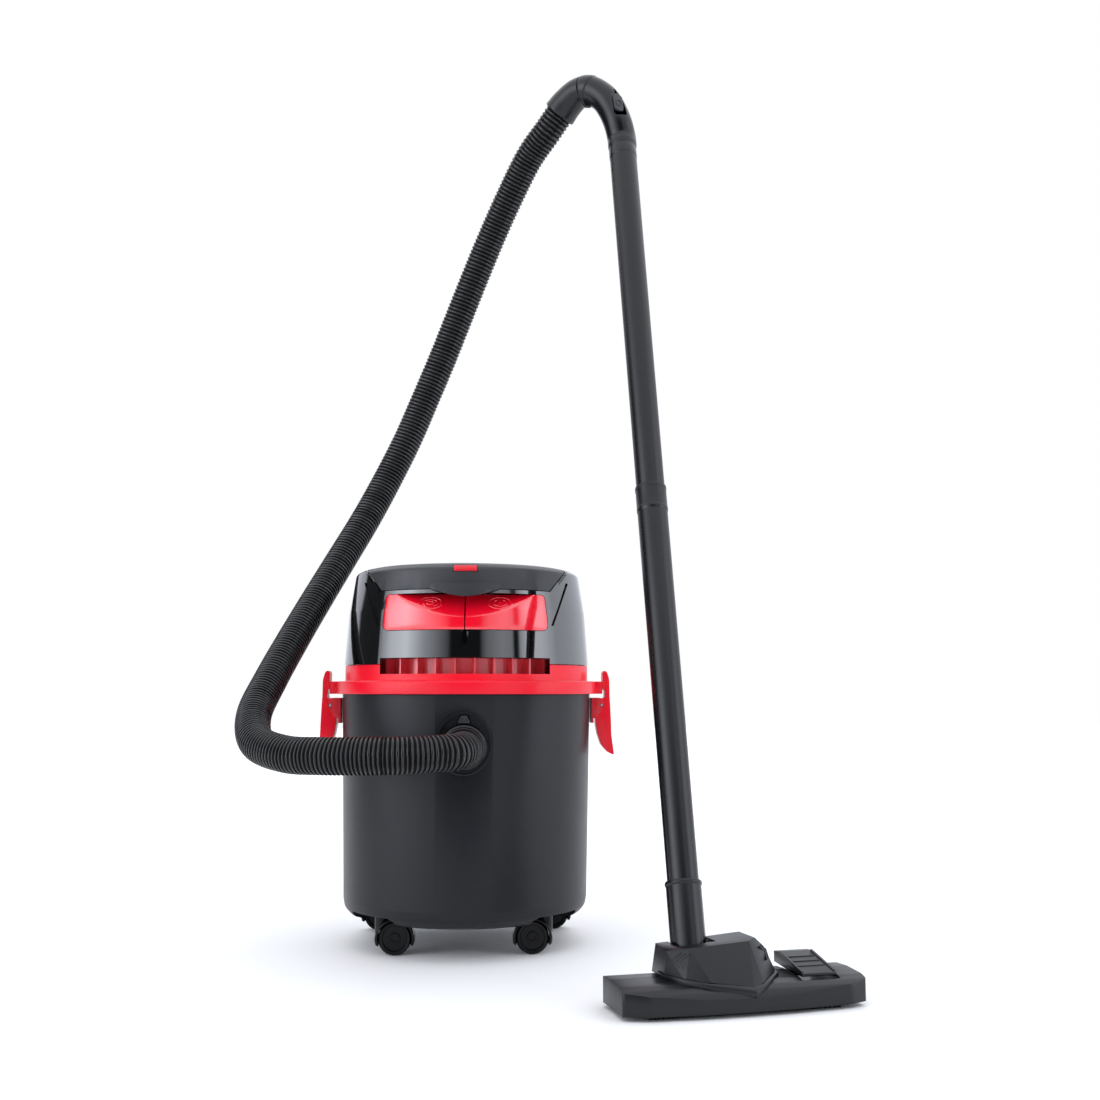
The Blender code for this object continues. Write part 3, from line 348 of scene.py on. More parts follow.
def span_box(x, y, z):
    return prism([(x[0], y[0]), (x[1], y[0]), (x[1], y[1]), (x[0], y[1])], *z)


def rod(radius, start, end, sides=48, end_radius=None, edge=0.0):
    """A round bar or cone between two points, its rims softened by edge."""
    start, end = Vector(start), Vector(end)
    length = (end - start).length
    last = radius if end_radius is None else end_radius
    profile = [(0, 0), (radius - edge, 0), (radius, edge), (last, length - edge), (last - edge, length),
               (0, length)]
    place = shift(start) @ (end - start).to_track_quat("Z", "Y").to_matrix().to_4x4()
    return turned(profile if edge else [(0, 0), (radius, 0), (last, length), (0, length)], sides, place,
                  closed=False)


def curve_through(route, count):
    """Points at even spacing along a smooth curve through the route."""
    route = [Vector(p) for p in route]
    ends = [2 * route[0] - route[1], *route, 2 * route[-1] - route[-2]]
    fine = []
    for i in range(1, len(ends) - 2):
        a, b, c, d = ends[i - 1 : i + 3]
        for k in range(12):
            t = k / 12
            bend, twist = 2 * a - 5 * b + 4 * c - d, 3 * b - a - 3 * c + d
            fine.append(0.5 * (2 * b + (c - a) * t + bend * t**2 + twist * t**3))
    fine.append(route[-1])
    run = np.concatenate([[0.0], np.cumsum([(b - a).length for a, b in zip(fine, fine[1:])])])
    wanted = np.linspace(0.0, run[-1], count)
    points = [Vector([float(np.interp(w, run, [p[j] for p in fine])) for j in range(3)]) for w in wanted]
    return points, float(run[-1])


def swept(centres, radius, sides=40, caps=True, inner=None):
    """A round tube along centres. radius is a list with one value for each centre. inner gives it a bore."""
    last = len(centres) - 1
    tangents = [(centres[min(i + 1, last)] - centres[max(i - 1, 0)]).normalized() for i in range(last + 1)]
    normal = tangents[0].orthogonal().normalized()
    normals = []
    for t in tangents:
        normal = (normal - t * normal.dot(t)).normalized()
        normals.append(normal)

    def ring(i, r):
        n, b = normals[i], tangents[i].cross(normals[i])
        angles = [2 * math.pi * k / sides for k in range(sides)]
        return [centres[i] + (n * math.cos(a) + b * math.sin(a)) * r for a in angles]

    loops = [ring(i, radius[i]) for i in range(len(centres))]
    if inner is not None:
        loops += [ring(i, inner) for i in reversed(range(len(centres)))]
    verts = [p for loop in loops for p in loop]
    faces = []
    pairs = [(i, i + 1) for i in range(len(loops) - 1)] + ([(len(loops) - 1, 0)] if inner is not None else [])
    for a, b in pairs:
        faces += [[a * sides + k, a * sides + (k + 1) % sides, b * sides + (k + 1) % sides,
                   b * sides + k] for k in range(sides)]
    if inner is None and caps:
        faces += [list(range(sides)), list(range(len(verts) - 1, len(verts) - sides - 1, -1))]
    return mesh_object(verts, faces)


def applied(obj):
    """The object's evaluated shape as its plain mesh."""
    bpy.context.view_layer.update()
    mesh = bpy.data.meshes.new_from_object(obj.evaluated_get(bpy.context.evaluated_depsgraph_get()))
    obj.modifiers.clear()
    obj.data = mesh
    return obj


def boolean(obj, others, operation):
    for other in others:
        step = obj.modifiers.new("step", "BOOLEAN")
        step.operation = operation
        step.object = other
    applied(obj)
    for other in others:
        bpy.data.objects.remove(other, do_unlink=True)
    return obj


def cut(obj, *others):
    return boolean(obj, others, "DIFFERENCE")


def join(obj, *others):
    return boolean(obj, others, "UNION")


def common(obj, *others):
    return boolean(obj, others, "INTERSECT")


def merged(*objects):
    """Several shapes as one mesh, without a Boolean."""
    bm = bmesh.new()
    for obj in objects:
        part = obj.data.copy()
        part.transform(obj.matrix_world)
        bm.from_mesh(part)
        bpy.data.objects.remove(obj, do_unlink=True)
    return from_bmesh(bm)


def beveled(obj, width, segments=3, angle=32):
    step = obj.modifiers.new("edges", "BEVEL")
    step.width = width
    step.segments = segments
    step.limit_method = "ANGLE"
    step.angle_limit = math.radians(angle)
    step.harden_normals = False
    return applied(obj)


def placed(obj, matrix):
    obj.data.transform(matrix)
    if matrix.determinant() < 0:
        obj.data.flip_normals()
    return obj


def piece(name, obj, look, slot, *nodes, body=None, angle=38):
    """Names a finished shape, paints it and lets it ride and stand for its CAD nodes."""
    obj.name = obj.data.name = name
    obj.data.transform(HOME)
    obj.data.materials.clear()
    obj.data.materials.append(LOOKS[look])
    obj.data.shade_smooth()
    obj.data.set_sharp_from_angle(angle=math.radians(angle))
    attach(obj, body or frame["nodes"][nodes[0]]["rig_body"])
    if nodes:
        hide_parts(*nodes)
    return obj


# Camera, light and floor.

FOCAL_PX, IMAGE_PX, PITCH, YAW = 1300.0, 1100.0, math.radians(6.15), math.radians(2.5)
EYE = Vector((0.0322, -1.623, 0.302))


def make_camera():
    data = bpy.data.cameras.new("camera")
    data.sensor_width = 36.0
    data.lens = 36.0 * FOCAL_PX / IMAGE_PX
    data.clip_start, data.clip_end = 0.05, 50.0
    camera = bpy.data.objects.new("camera", data)
    bpy.context.scene.collection.objects.link(camera)
    camera.location = AXIS + EYE
    camera.rotation_euler = (math.radians(90) + PITCH, 0.0, -YAW)
    bpy.context.scene.camera = camera


# What the object mirrors: (degrees round from the front towards the right, brightness).
STUDIO = (
    (-89, 1.2), (-75, 3.2), (-58, 4.2), (-40, 1.9), (-25, 0.9), (-17, 0.4), (-14, 0.03), (13, 0.03),
    (15, 0.4), (20, 0.9),
    (34, 1.4), (44, 1.2), (46, 0.03), (50, 0.03), (52, 1.6), (60, 3.0), (75, 2.8), (95, 1.4), (150, 0.8),
    (232, 0.9),
    (237, 0.05), (266, 0.05),
)


def make_studio():
    """Soft panels all round, drawn in the world's light, and a white backdrop for the camera."""
    world = bpy.data.worlds.new("studio")
    bpy.context.scene.world = world
    world.use_nodes = True
    nodes, links = world.node_tree.nodes, world.node_tree.links
    around, panels = nodes.new("ShaderNodeTexGradient"), nodes.new("ShaderNodeValToRGB")
    direction, split = nodes.new("ShaderNodeTexCoord"), nodes.new("ShaderNodeSeparateXYZ")
    height = nodes.new("ShaderNodeMapRange")
    around.gradient_type = "RADIAL"
    links.new(direction.outputs["Generated"], around.inputs["Vector"])
    links.new(direction.outputs["Generated"], split.inputs["Vector"])
    links.new(around.outputs["Fac"], panels.inputs["Fac"])
    stops = panels.color_ramp.elements
    for index, (degrees, level) in enumerate(STUDIO):
        position = degrees / 360 + 0.25
        stop = stops[index] if index < 2 else stops.new(position)
        stop.position, stop.color = position, (level * 0.93, level * 0.97, level * 1.06, 1.0)
    for name, value in (("From Min", 0.34), ("From Max", 0.62)):
        height.inputs[name].default_value = value
    links.new(split.outputs["Z"], height.inputs["Value"])
    above = nodes.new("ShaderNodeMix")
    above.data_type = "RGBA"
    above.inputs[7].default_value = (1.45, 1.48, 1.55, 1.0)
    links.new(height.outputs["Result"], above.inputs[0])
    links.new(panels.outputs["Color"], above.inputs[6])
    fill, backdrop = nodes["Background"], nodes.new("ShaderNodeBackground")
    path, mix = nodes.new("ShaderNodeLightPath"), nodes.new("ShaderNodeMixShader")
    links.new(above.outputs[2], fill.inputs["Color"])
    links.new(path.outputs["Is Camera Ray"], mix.inputs["Fac"])
    links.new(fill.outputs["Background"], mix.inputs[1])
    links.new(backdrop.outputs["Background"], mix.inputs[2])
    links.new(mix.outputs["Shader"], nodes["World Output"].inputs["Surface"])
    backdrop.inputs["Color"].default_value = (1.0, 1.0, 1.0, 1.0)
    floor = span_box(both(9), both(9), (-0.02, -0.0002))
    floor.name = "floor"
    floor.data.transform(HOME)
    floor.data.materials.append(plastic("pale_floor", (0.93, 0.93, 0.93), 0.65, 30.0, 0.0, tone=0.004,
            rough_spread=0.02))
    bpy.context.scene.view_settings.view_transform = "Standard"


# The hose.


def make_hose():
    """A corrugated tube: ribs closer together at the inlet, and painted shade in the valleys, which take a
    darker, duller copy of the hose plastic than the brighter crests.
    """
    dense, length = curve_through(HOSE_ROUTE, 2400)
    pitches = round(length / ((PITCH_LOW + PITCH_HIGH) / 2))
    per_pitch = 8
    turns = np.linspace(0.0, 1.0, pitches * per_pitch + 1)
    share = (PITCH_LOW * turns + (PITCH_HIGH - PITCH_LOW) * turns**2 / 2) / ((PITCH_LOW + PITCH_HIGH) / 2)
    centres = [dense[0], *[dense[round(float(t) * (len(dense) - 1))] for t in share[1:-1]], dense[-1]]
    crest = (1.0, 0.97, 0.7, 0.1, 0.0, 0.1, 0.7, 0.97)
    radius = [HOSE_D / 2 - RIB_DEPTH * (1 - crest[i % per_pitch]) for i in range(len(centres))]
    sides = 48
    hose = piece("hose_corrugated", swept(centres, radius, sides), "hose", "hose_plastic", "hose", angle=80)
    hose.data.materials.append(LOOKS["hose_painted_shade"])
    # Painted shade: the faces in each rib's valley (rings 2 to 5 of each pitch) take the darker hose
    # material.
    for index, face in enumerate(hose.data.polygons):
        face.material_index = int(index // sides % per_pitch in (2, 3, 4, 5))


# The tank, its inlet and its casters.


def oval(half_width, half_height):
    """Turns a disc of radius 1 that faces the front into the inlet's upright oval."""
    return shift((0, 0, INLET_Z + 0.004)) @ Matrix.Diagonal((half_width, 1, half_height, 1))


def disc(front, back):
    """A disc of radius 1 that faces the front."""
    return rod(1.0, (0, front, 0), (0, back, 0), 96)


def make_tank():
    foot = [(TANK_R_FOOT, TANK_SHOULDER), (TANK_R_FOOT - 0.0015, TANK_SHOULDER - 0.01),
            (TANK_R_FOOT - 0.008, TANK_FLOOR + 0.003),
            (TANK_R_FOOT - 0.017, TANK_FLOOR)]
    outer = filleted([(0, TANK_LIP), (TANK_R_TOP, TANK_LIP), *foot, (0, TANK_FLOOR)],
                     [0, 0.0006, 0.012, 0.012, 0.008, 0.01, 0], 5)
    inner = filleted([(0, TANK_FLOOR + WALL), (TANK_R_FOOT - 0.02, TANK_FLOOR + WALL),
                      (TANK_R_FOOT - WALL, TANK_SHOULDER),
                      (TANK_R_TOP - WALL, TANK_LIP + 0.01), (0, TANK_LIP + 0.01)], [0, 0.008, 0.008, 0, 0], 4)
    cavity = turned(inner, 144, closed=False)
    pockets = []
    for x, y, _ in CASTERS.values():
        cavity = cut(cavity, rod(0.045, (x, y, 0.0), (x, y, 0.0495), edge=0.003),
                     rod(0.009, (x, y, 0.0), (x, y, 0.064), edge=0.001))
        pockets += [rod(0.0415, (x, y, 0.0), (x, y, 0.046), edge=0.003),
                    rod(0.0043, (x, y, 0.0), (x, y, 0.0613), 24)]
    tank = cut(turned(outer, 144, closed=False), cavity, *pockets,
               placed(disc(-0.17, -0.1), oval(0.0325, 0.0365)))
    piece("tank_body", beveled(tank, 0.0006, 2), "charcoal", "charcoal_plastic", "tank")

    front, back = -0.1486, -0.1405
    dish = cut(placed(disc(front, back), oval(0.0323, 0.0363)),
               placed(disc(front - 0.01, back - 0.0025), oval(0.0298, 0.0338)))
    dish = join(dish, rod(0.0225, (0, back - 0.001, INLET_Z), (0, -0.098, INLET_Z), 72))
    slot = prism(filleted(trapezium(0.0082, INLET_Z + 0.0262, 0.0042, INLET_Z + 0.0363), 0.001),
                 front - 0.002, back + 0.01, "Y")
    dish = cut(dish, rod(0.02, (0, front - 0.01, INLET_Z), (0, -0.09, INLET_Z), 72), slot)
    piece("inlet_dish", beveled(dish, 0.0005, 2), "charcoal", "charcoal_plastic", "inlet_socket")

    profile = [(0.0265, -0.147), (0.0265, -0.153), (0.025, -0.156), (0.0229, -0.1572), (0.0226, -0.185),
               (0.015, -0.185), (0.015, -0.11), (0.0192, -0.11), (0.0192, -0.147)]
    facing = shift((0, 0, INLET_Z)) @ spin(math.radians(-90), "X")
    connector = turned(filleted(profile, [0.0008, 0.0015, 0.0012, 0.0008, 0.0015, 0.0005, 0.0005, 0.0005,
            0.0004]), 96, facing)
    notches = [span_box(both(0.0012), (-0.1562, -0.148), (0.0258, 0.03)) for _ in range(12)]
    for k, notch in enumerate(notches):
        placed(notch, shift((0, 0, INLET_Z)) @ spin(math.radians(15 + 30 * k), "Y"))
    piece("hose_connector_body", cut(connector, merged(*notches)), "black", "black_plastic", "hose_connector")
    z = INLET_Z
    outline = filleted(trapezium(0.0072, z + 0.027, 0.0032, z + 0.0356), 0.0012)
    tab = cut(prism(outline, -0.1562, -0.1434, "Y"),
              *[rod(0.0009, (x, -0.16, z + 0.0308), (x, -0.1545, z + 0.0308), 20) for x in both(0.0022)])
    piece("connector_tab", beveled(tab, 0.0004, 2), "brow", "dark_grey_plastic", "connector_latch")
    seal = turned(filleted([(0.1505, 0.3057), (0.1505, TANK_LIP + 0.0003), (0.1455, TANK_LIP + 0.0003),
                            (0.1455, 0.3057)], 0.0008), 144)
    piece("seal_ring", seal, "rubber", "rubber", "tank_seal")


def make_casters():
    arc = [math.radians(a) for a in range(-20, 201, 5)]
    for name, (x, y, toward) in CASTERS.items():
        centre = Vector((x + toward * CASTER_TRAIL, y, WHEEL_R))
        place = shift(centre) @ spin(math.radians(180 if toward > 0 else 0), "Z")
        hood = beveled(prism([(HOOD_R * math.cos(a), HOOD_R * math.sin(a)) for a in arc], -HOOD_W / 2,
                HOOD_W / 2, "Y"), 0.0022, 4, 50)
        hood = join(hood, rod(0.008, (CASTER_TRAIL, 0, 0.004), (CASTER_TRAIL, 0, 0.0262), 40, edge=0.001))
        wells = [rod(WHEEL_R + 0.001, (0, side * 0.0018, 0), (0, side * (HOOD_W / 2 + 0.01), 0),
                     72) for side in (-1, 1)]
        hood = cut(hood, *wells, rod(0.0033, (0, -0.02, 0), (0, 0.02, 0), 24),
                   rod(0.0043, (CASTER_TRAIL, 0, -0.01), (CASTER_TRAIL, 0, 0.05), 24))
        piece(f"hood_{name}", placed(beveled(hood, 0.0004, 2, 40), place), "wheel", "black_plastic",
              f"caster_hood_{name}")
        face, rim = 0.0024 + WHEEL_W, WHEEL_R - 0.0045
        half = [(0, face - 0.0022), (0.0035, face - 0.0022), (0.004, face - 0.0006), (0.006, face - 0.0006),
                (0.0066, face - 0.0024),
                (rim - 0.0008, face - 0.0024), (rim, face - 0.0006), (WHEEL_R - 0.0018, face),
                (WHEEL_R, face - 0.0018),
                (WHEEL_R, 0.004), (WHEEL_R - 0.0014, 0.0024), (0.0028, 0.0024)]
        wheel = turned(half + [(r, -w) for r, w in reversed(half)], 64, spin(math.radians(90), "X"),
                       closed=False)
        piece(f"wheels_{name}", placed(wheel, place), "wheel", "rubber", f"caster_wheel_{name}")
        stem = rod(0.004, (x, y, 0.0365), (x, y, 0.061), 32, edge=0.0006)
        piece(f"stem_{name}", stem, "steel", "steel", f"caster_stem_{name}")


def make_latches():
    for name, side in (("left", -1), ("right", 1)):
        flip = Matrix.Diagonal((side, 1, 1, 1))
        bracket = span_box((0.153, 0.156), both(LATCH_HALF), (0.262, 0.2925))
        cheek = filleted([(0.155, 0.264), (0.166, 0.2765), (0.17, 0.2836), (0.166, 0.2925), (0.155, 0.2925)],
                         0.003)
        bracket = join(bracket, prism(cheek, -LATCH_HALF, -LATCH_HALF + 0.004, "Y"),
                       prism(cheek, LATCH_HALF - 0.004, LATCH_HALF, "Y"))
        bracket = cut(bracket, rod(0.002, (LATCH_X, -0.03, LATCH_Z), (LATCH_X, 0.03, LATCH_Z), 24))
        piece(f"bracket_{name}", placed(beveled(bracket, 0.0006, 2), flip), "red_satin", "red_plastic",
              f"latch_bracket_{name}")
        pin = rod(0.0017, (LATCH_X, -LATCH_HALF, LATCH_Z), (LATCH_X, LATCH_HALF, LATCH_Z), 24, edge=0.0003)
        piece(f"pin_{name}", placed(pin, flip), "steel", "steel", f"latch_pin_{name}")
        outline = filleted([
            (0.1677, 0.304), (0.1677, 0.3235), (0.17, 0.3262), (0.1733, 0.324), (0.176, 0.315),
            (0.1762, 0.295),
            (0.1768, 0.2857), (0.1777, 0.2647), (0.1784, 0.2461), (0.1815, 0.2225), (0.1734, 0.2262),
            (0.1655, 0.2349),
            (0.161, 0.248), (0.1592, 0.26), (0.1592, 0.28), (0.161, 0.289), (0.1705, 0.293), (0.1705, 0.301),
        ], [0.003, 0.003, 0.004, 0.006, 0.02, 0.02, 0.02, 0.02, 0.02, 0.0015, 0.01, 0.012, 0.012, 0.01, 0.006,
            0.006, 0.003, 0.003], 5)
        half = LATCH_HALF - 0.0045
        lever = prism(outline, -half, half, "Y")
        ribs = [span_box((0.1784, 0.183), both(half - 0.002), (z, z + 0.001)) for z in (0.231, 0.2345, 0.238,
                0.2415)]
        lever = cut(lever, rod(0.0021, (LATCH_X, -0.03, LATCH_Z), (LATCH_X, 0.03, LATCH_Z), 24), *ribs)
        piece(f"lever_{name}", placed(beveled(lever, 0.0008, 3), flip), "red", "red_plastic",
              f"latch_lever_{name}")


# The head.


def dome(inset, bottom=0.332):
    """The head's outer form, made smaller all over by the inset."""
    rim = [(max(r - inset, 0), z - inset * min(1.0, max(0.0, (z - 0.43) / 0.018))) for r, z in DOME]
    rim[0] = (rim[0][0], bottom)
    rim = filleted([*rim[:-1], (0, DOME[-1][1] - inset)], [0, 0.03, 0.006, 0.006, 0.02, 0.05, 0], 5,
                   closed=False)
    return turned([(0, bottom), *rim], 144, closed=False)


def brow_front(grow, back):
    """The front of the carry handle's place, as seen from the front."""
    outline = trapezium(BROW_LOW_HALF + grow, BROW_LOW - grow, BROW_HIGH_HALF + grow, 0.47)
    return prism(outline, -0.2, back, "Y")


def brow_region(grow, step, hinge_from):
    """All of the carry handle's place, with the narrower part round its hinge."""
    hinge = span_box(both(HINGE_HALF + grow), (hinge_from, PIVOT_Y + PIVOT_R + grow), (BROW_LOW - grow, 0.47))
    return join(brow_front(grow, step), hinge)


def skin_between(outer, inner):
    """The dome's skin between two insets."""
    return cut(dome(outer, 0.31), dome(inner, 0.3))


def button_outline(grow=0.0):
    """Both buttons seen from the front."""
    return trapezium(BUTTON_LOW_HALF + grow, BUTTON_LOW - grow, BUTTON_HIGH_HALF + grow, BUTTON_HIGH + grow)


def make_head_base():
    profile = filleted([
        (RIM_R, RIM_TOP), (RIM_R, RIM_BOTTOM), (TANK_R_TOP + 0.0006, RIM_BOTTOM),
        (TANK_R_TOP + 0.0006, 0.306), (0.032, 0.306),
        (0.032, 0.312), (0.146, 0.312), (0.146, BAND_TOP), (BAND_R, BAND_TOP), (BAND_R, RIM_TOP + 0.0002)],
        [0.003, 0.0008, 0.0004, 0, 0, 0, 0, 0.0005, 0.0006, 0.0012], 5)
    window = cut(span_box(both(VENT_HALF), (-0.18, -0.05), (VENT_BOTTOM, 0.36)),
                 rod(VENT_R, (0, 0, 0.3), (0, 0, 0.37), 144))
    front = span_box(both(0.2), (-0.2, -0.055), (0.3, 0.37))
    wall = common(cut(rod(VENT_R - 0.003, (0, 0, 0.311), (0, 0, VENT_TOP - 0.0002), 144),
                      rod(VENT_R - 0.006, (0, 0, 0.3), (0, 0, 0.37), 144)), front)
    shelf = cut(rod(0.147, (0, 0, 0.3175), (0, 0, VENT_BOTTOM), 144),
                rod(VENT_R - 0.004, (0, 0, 0.3), (0, 0, 0.37), 144))
    shelf = common(shelf, span_box(both(VENT_HALF + 0.003), (-0.18, -0.055), (0.3, 0.37)))
    base = join(cut(turned(profile, 144), window), shelf)
    lugs = [beveled(span_box(span, both(0.015), (RIM_BOTTOM, RIM_TOP)), 0.0008,
                    2) for span in ((-0.1672, -0.155), (0.155, 0.1672))]
    fins = []
    for k in range(-6, 6):
        fin = span_box(both(0.0011), (-VENT_R - 0.011, -VENT_R + 0.004),
                       (VENT_BOTTOM - 0.0004, VENT_TOP - 0.0003))
        fins.append(placed(fin, spin(math.radians(10 * k + 5), "Z")))
    piece("head_base_ring", merged(beveled(base, 0.0004, 2), *lugs), "red", "red_plastic", "head_base")
    # The fins and wall take the lighter vent red: painted light on the head base's own plastic.
    piece("vent_fins", merged(*fins), "vent", "red_plastic", "head_base")
    piece("vent_wall", wall, "vent", "red_plastic", "head_base")


def make_shells():
    far = 0.3
    skin = cut(dome(0.0), dome(WALL, 0.3))
    walls = common(cut(dome(0.0), dome(POCKET_DEPTH + 0.0025, 0.3)),
                   brow_front(0.0036, PIVOT_Y + PIVOT_R + 0.003))
    shell = cut(join(skin, walls), cut(brow_region(0.0009, POCKET_STEP, HANDLE_STEP - 0.0045),
            dome(POCKET_DEPTH, 0.3)))
    rear = shell.copy()
    rear.data = shell.data.copy()
    bpy.context.scene.collection.objects.link(rear)
    buttons = prism(filleted(button_outline(0.0007), [0.009, 0.009, 0.006, 0.006], 6), -0.2, -0.08, "Y")
    vents = span_box(both(VENT_HALF), (-0.2, -0.08), (0.31, VENT_TOP))
    grooves = [prism([(s * 0.0998, 0.3765), (s * 0.1026, 0.3765), (s * 0.1216, 0.429), (s * 0.1184, 0.429)],
                     -0.2, -0.05, "Y") for s in (-1, 1)]
    grooves = [common(groove, skin_between(-0.01, 0.0017)) for groove in grooves]
    slot = common(prism(filleted(trapezium(0.004, 0.369, 0.004, 0.3525), [0, 0, 0.0038, 0.0038], 6), -0.2,
                        -0.1, "Y"),
                  skin_between(-0.01, 0.001))
    deep = prism(filleted(trapezium(0.0022, 0.372, 0.0022, 0.3545), [0, 0, 0.0021, 0.0021], 6), -0.2, -0.1,
                 "Y")
    fascia = common(shell, span_box(both(far), (-far, SEAM_Y - 0.0003), (0.2, 0.6)))
    fascia = cut(fascia, buttons, vents, *grooves, slot, deep)
    piece("front_fascia_shell", beveled(fascia, 0.0006, 2, 35), "gloss", "gloss_black", "front_fascia")
    rear = common(rear, span_box(both(far), (SEAM_Y + 0.0003, far), (0.2, 0.6)))
    rear = cut(rear, rod(0.008, (0, 0.12, 0.356), (0, 0.16, 0.356), 48),
               rod(0.0023, (-0.1085, PIVOT_Y, PIVOT_Z), (0.1085, PIVOT_Y, PIVOT_Z), 24))
    piece("rear_shell_cover", beveled(rear, 0.0006, 2, 35), "gloss", "gloss_black", "rear_shell")
    profile = filleted([(0.0105, 0.005), (0.0115, 0.0025), (0.0115, 0), (0.0074, 0), (0.0074, -0.008),
                        (0.0045, -0.008), (0.0045, 0.005)], 0.0006)
    gland = turned(profile, 64, shift((0, 0.15, 0.356)) @ spin(math.radians(-90), "X"))
    piece("cord_gland", gland, "rubber", "rubber", "cord_outlet")


def make_carry_handle():
    block = common(cut(dome(0.0), dome(BROW_THICK, 0.3)), brow_region(0.0, HANDLE_STEP, HANDLE_STEP - 0.005))
    heel = rod(PIVOT_R, (-0.13, PIVOT_Y, PIVOT_Z), (0.13, PIVOT_Y, PIVOT_Z), 64)
    block = common(block, join(span_box(both(0.14), (-0.2, PIVOT_Y), (0.4, 0.47)), heel))
    opening = prism(filleted(trapezium(0.078, -0.088, 0.078, 0.05), [0.012, 0.012, 0, 0], 6), 0.3, 0.5)
    edge = [(0.0415 * t / 12, 0.4082 + 0.0096 * abs(t / 12) ** 1.7) for t in range(-12, 13)]
    hanging = [*edge, (0.0415, 0.4238), (-0.0415, 0.4238)]
    lip = common(skin_between(-0.0045, -0.0014), prism(hanging, -0.2, -0.1, "Y"))
    rise = trapezium(0.0415, BROW_LOW + 0.0003, 0.0415, 0.4238)
    root = common(skin_between(-0.0045, 0.005), prism(rise, -0.2, -0.1, "Y"))
    ears = [span_box(both(0.006, s * 0.094), both(0.006, PIVOT_Y), (0.4305, 0.444)) for s in (-1, 1)]
    handle = join(cut(block, opening), root, lip, *ears)
    seat = cut(span_box(both(0.0142), (-0.2, -0.12), (0.4371, 0.4452)), dome(0.0058, 0.3))
    handle = cut(handle, rod(0.0023, (-0.2, PIVOT_Y, PIVOT_Z), (0.2, PIVOT_Y, PIVOT_Z), 24), seat)
    piece("carry_handle_body", beveled(handle, 0.0011, 3, 30), "brow", "dark_grey_plastic", "carry_handle")
    piece("handle_axle", rod(0.002, (-0.1068, PIVOT_Y, PIVOT_Z), (0.1068, PIVOT_Y, PIVOT_Z), 24, edge=0.0003),
          "steel", "steel", "handle_rod")
    inlay = beveled(common(skin_between(-0.0008, 0.0055),
                           span_box(both(0.0136), (-0.2, -0.12), (0.4376, 0.4447))), 0.0009, 3)
    piece("brow_inlay", inlay, "red_satin", "red_plastic", "handle_inlay")


# The buttons' upper face is a plane that leans back from here.
CREASE_Y, CREASE_Z, CREASE_TILT = -0.1455, 0.3858, math.radians(44)


def above_crease(drop=0.0):
    """A cutter for everything above the leaning face, sunk below it by the drop."""
    cutter = span_box(both(0.3), both(0.3), (0, 0.3))
    lean = shift((0, CREASE_Y, CREASE_Z)) @ spin(CREASE_TILT, "X")
    return placed(cutter, lean @ shift((0, 0, -drop)))


def on_crease(x, up):
    """A point on the leaning face, up metres along it from the crease."""
    return Vector((x, CREASE_Y + up * math.cos(CREASE_TILT), CREASE_Z + up * math.sin(CREASE_TILT)))


def stroke(x, up, points):
    """A thin raised line on a button's leaning face through flat (right, up) points."""
    centres = [on_crease(x + a, up + b) for a, b in points]
    return swept(centres, [0.00075] * len(centres), 10)


def arc_points(rx, ry, start, end, steps=48):
    angles = [math.radians(start + (end - start) * k / steps) for k in range(steps + 1)]
    return [(rx * math.cos(a), ry * math.sin(a)) for a in angles]


def make_buttons():
    middle = (BUTTON_LOW + BUTTON_HIGH) / 2
    for name, side in (("rewind", -1), ("power", 1)):
        outline = filleted(button_outline(), [0.008, 0.008, 0.005, 0.005], 6)
        span = span_box(sorted((side * 0.0007, side * 0.12)), (-0.2, -0.09), (0.36, 0.42))
        outer = cut(common(common(dome(-0.001, 0.31), prism(outline, -0.2, -0.09, "Y")), span),
                    above_crease())
        inner = cut(common(dome(0.0035, 0.3),
                           prism([(0.94 * a, 0.3911 + (b - 0.3911) * 0.88) for a, b in outline], -0.2, -0.05,
                           "Y")), above_crease(0.0035))
        back = span_box(both(0.2), (-0.105, 0.0), (0.3, 0.5))
        x = side * 0.045
        button = join(cut(outer, inner, back), rod(0.003, (x, -0.1365, middle), (x, -0.128, middle), 32))
        piece(f"{name}_button_cap", beveled(button, 0.0009, 3, 30), "red_gloss", "red_plastic",
              f"{name}_button")
        at, up = side * 0.04, 0.0225
        strokes = [stroke(at, up, arc_points(0.0135, 0.01, 0, 360))]
        if side < 0:
            strokes += [stroke(at, up, arc_points(0.0085, 0.006, -60, 230)),
                        stroke(at, up, arc_points(0.004, 0.0028, 0, 360))]
        else:
            strokes += [stroke(at, up, arc_points(0.0075, 0.0056, 120, 420)),
                        stroke(at, up, [(0, 0.0005), (0, 0.0075)])]
        piece(f"{name}_symbol", merged(*strokes), "red_gloss", "red_plastic",
              body=frame["nodes"][f"{name}_button"]["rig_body"])


# Grip, wand and floor tool.


def grip_points():
    """The bent grip's centre line, from the wand's top to where the hose begins."""
    up = (WAND_TOP - WAND_FOOT).normalized()
    start = [WAND_TOP + up * 0.0003, WAND_TOP + up * 0.02]
    return curve_through([*start, *GRIP_ROUTE], 118)[0]


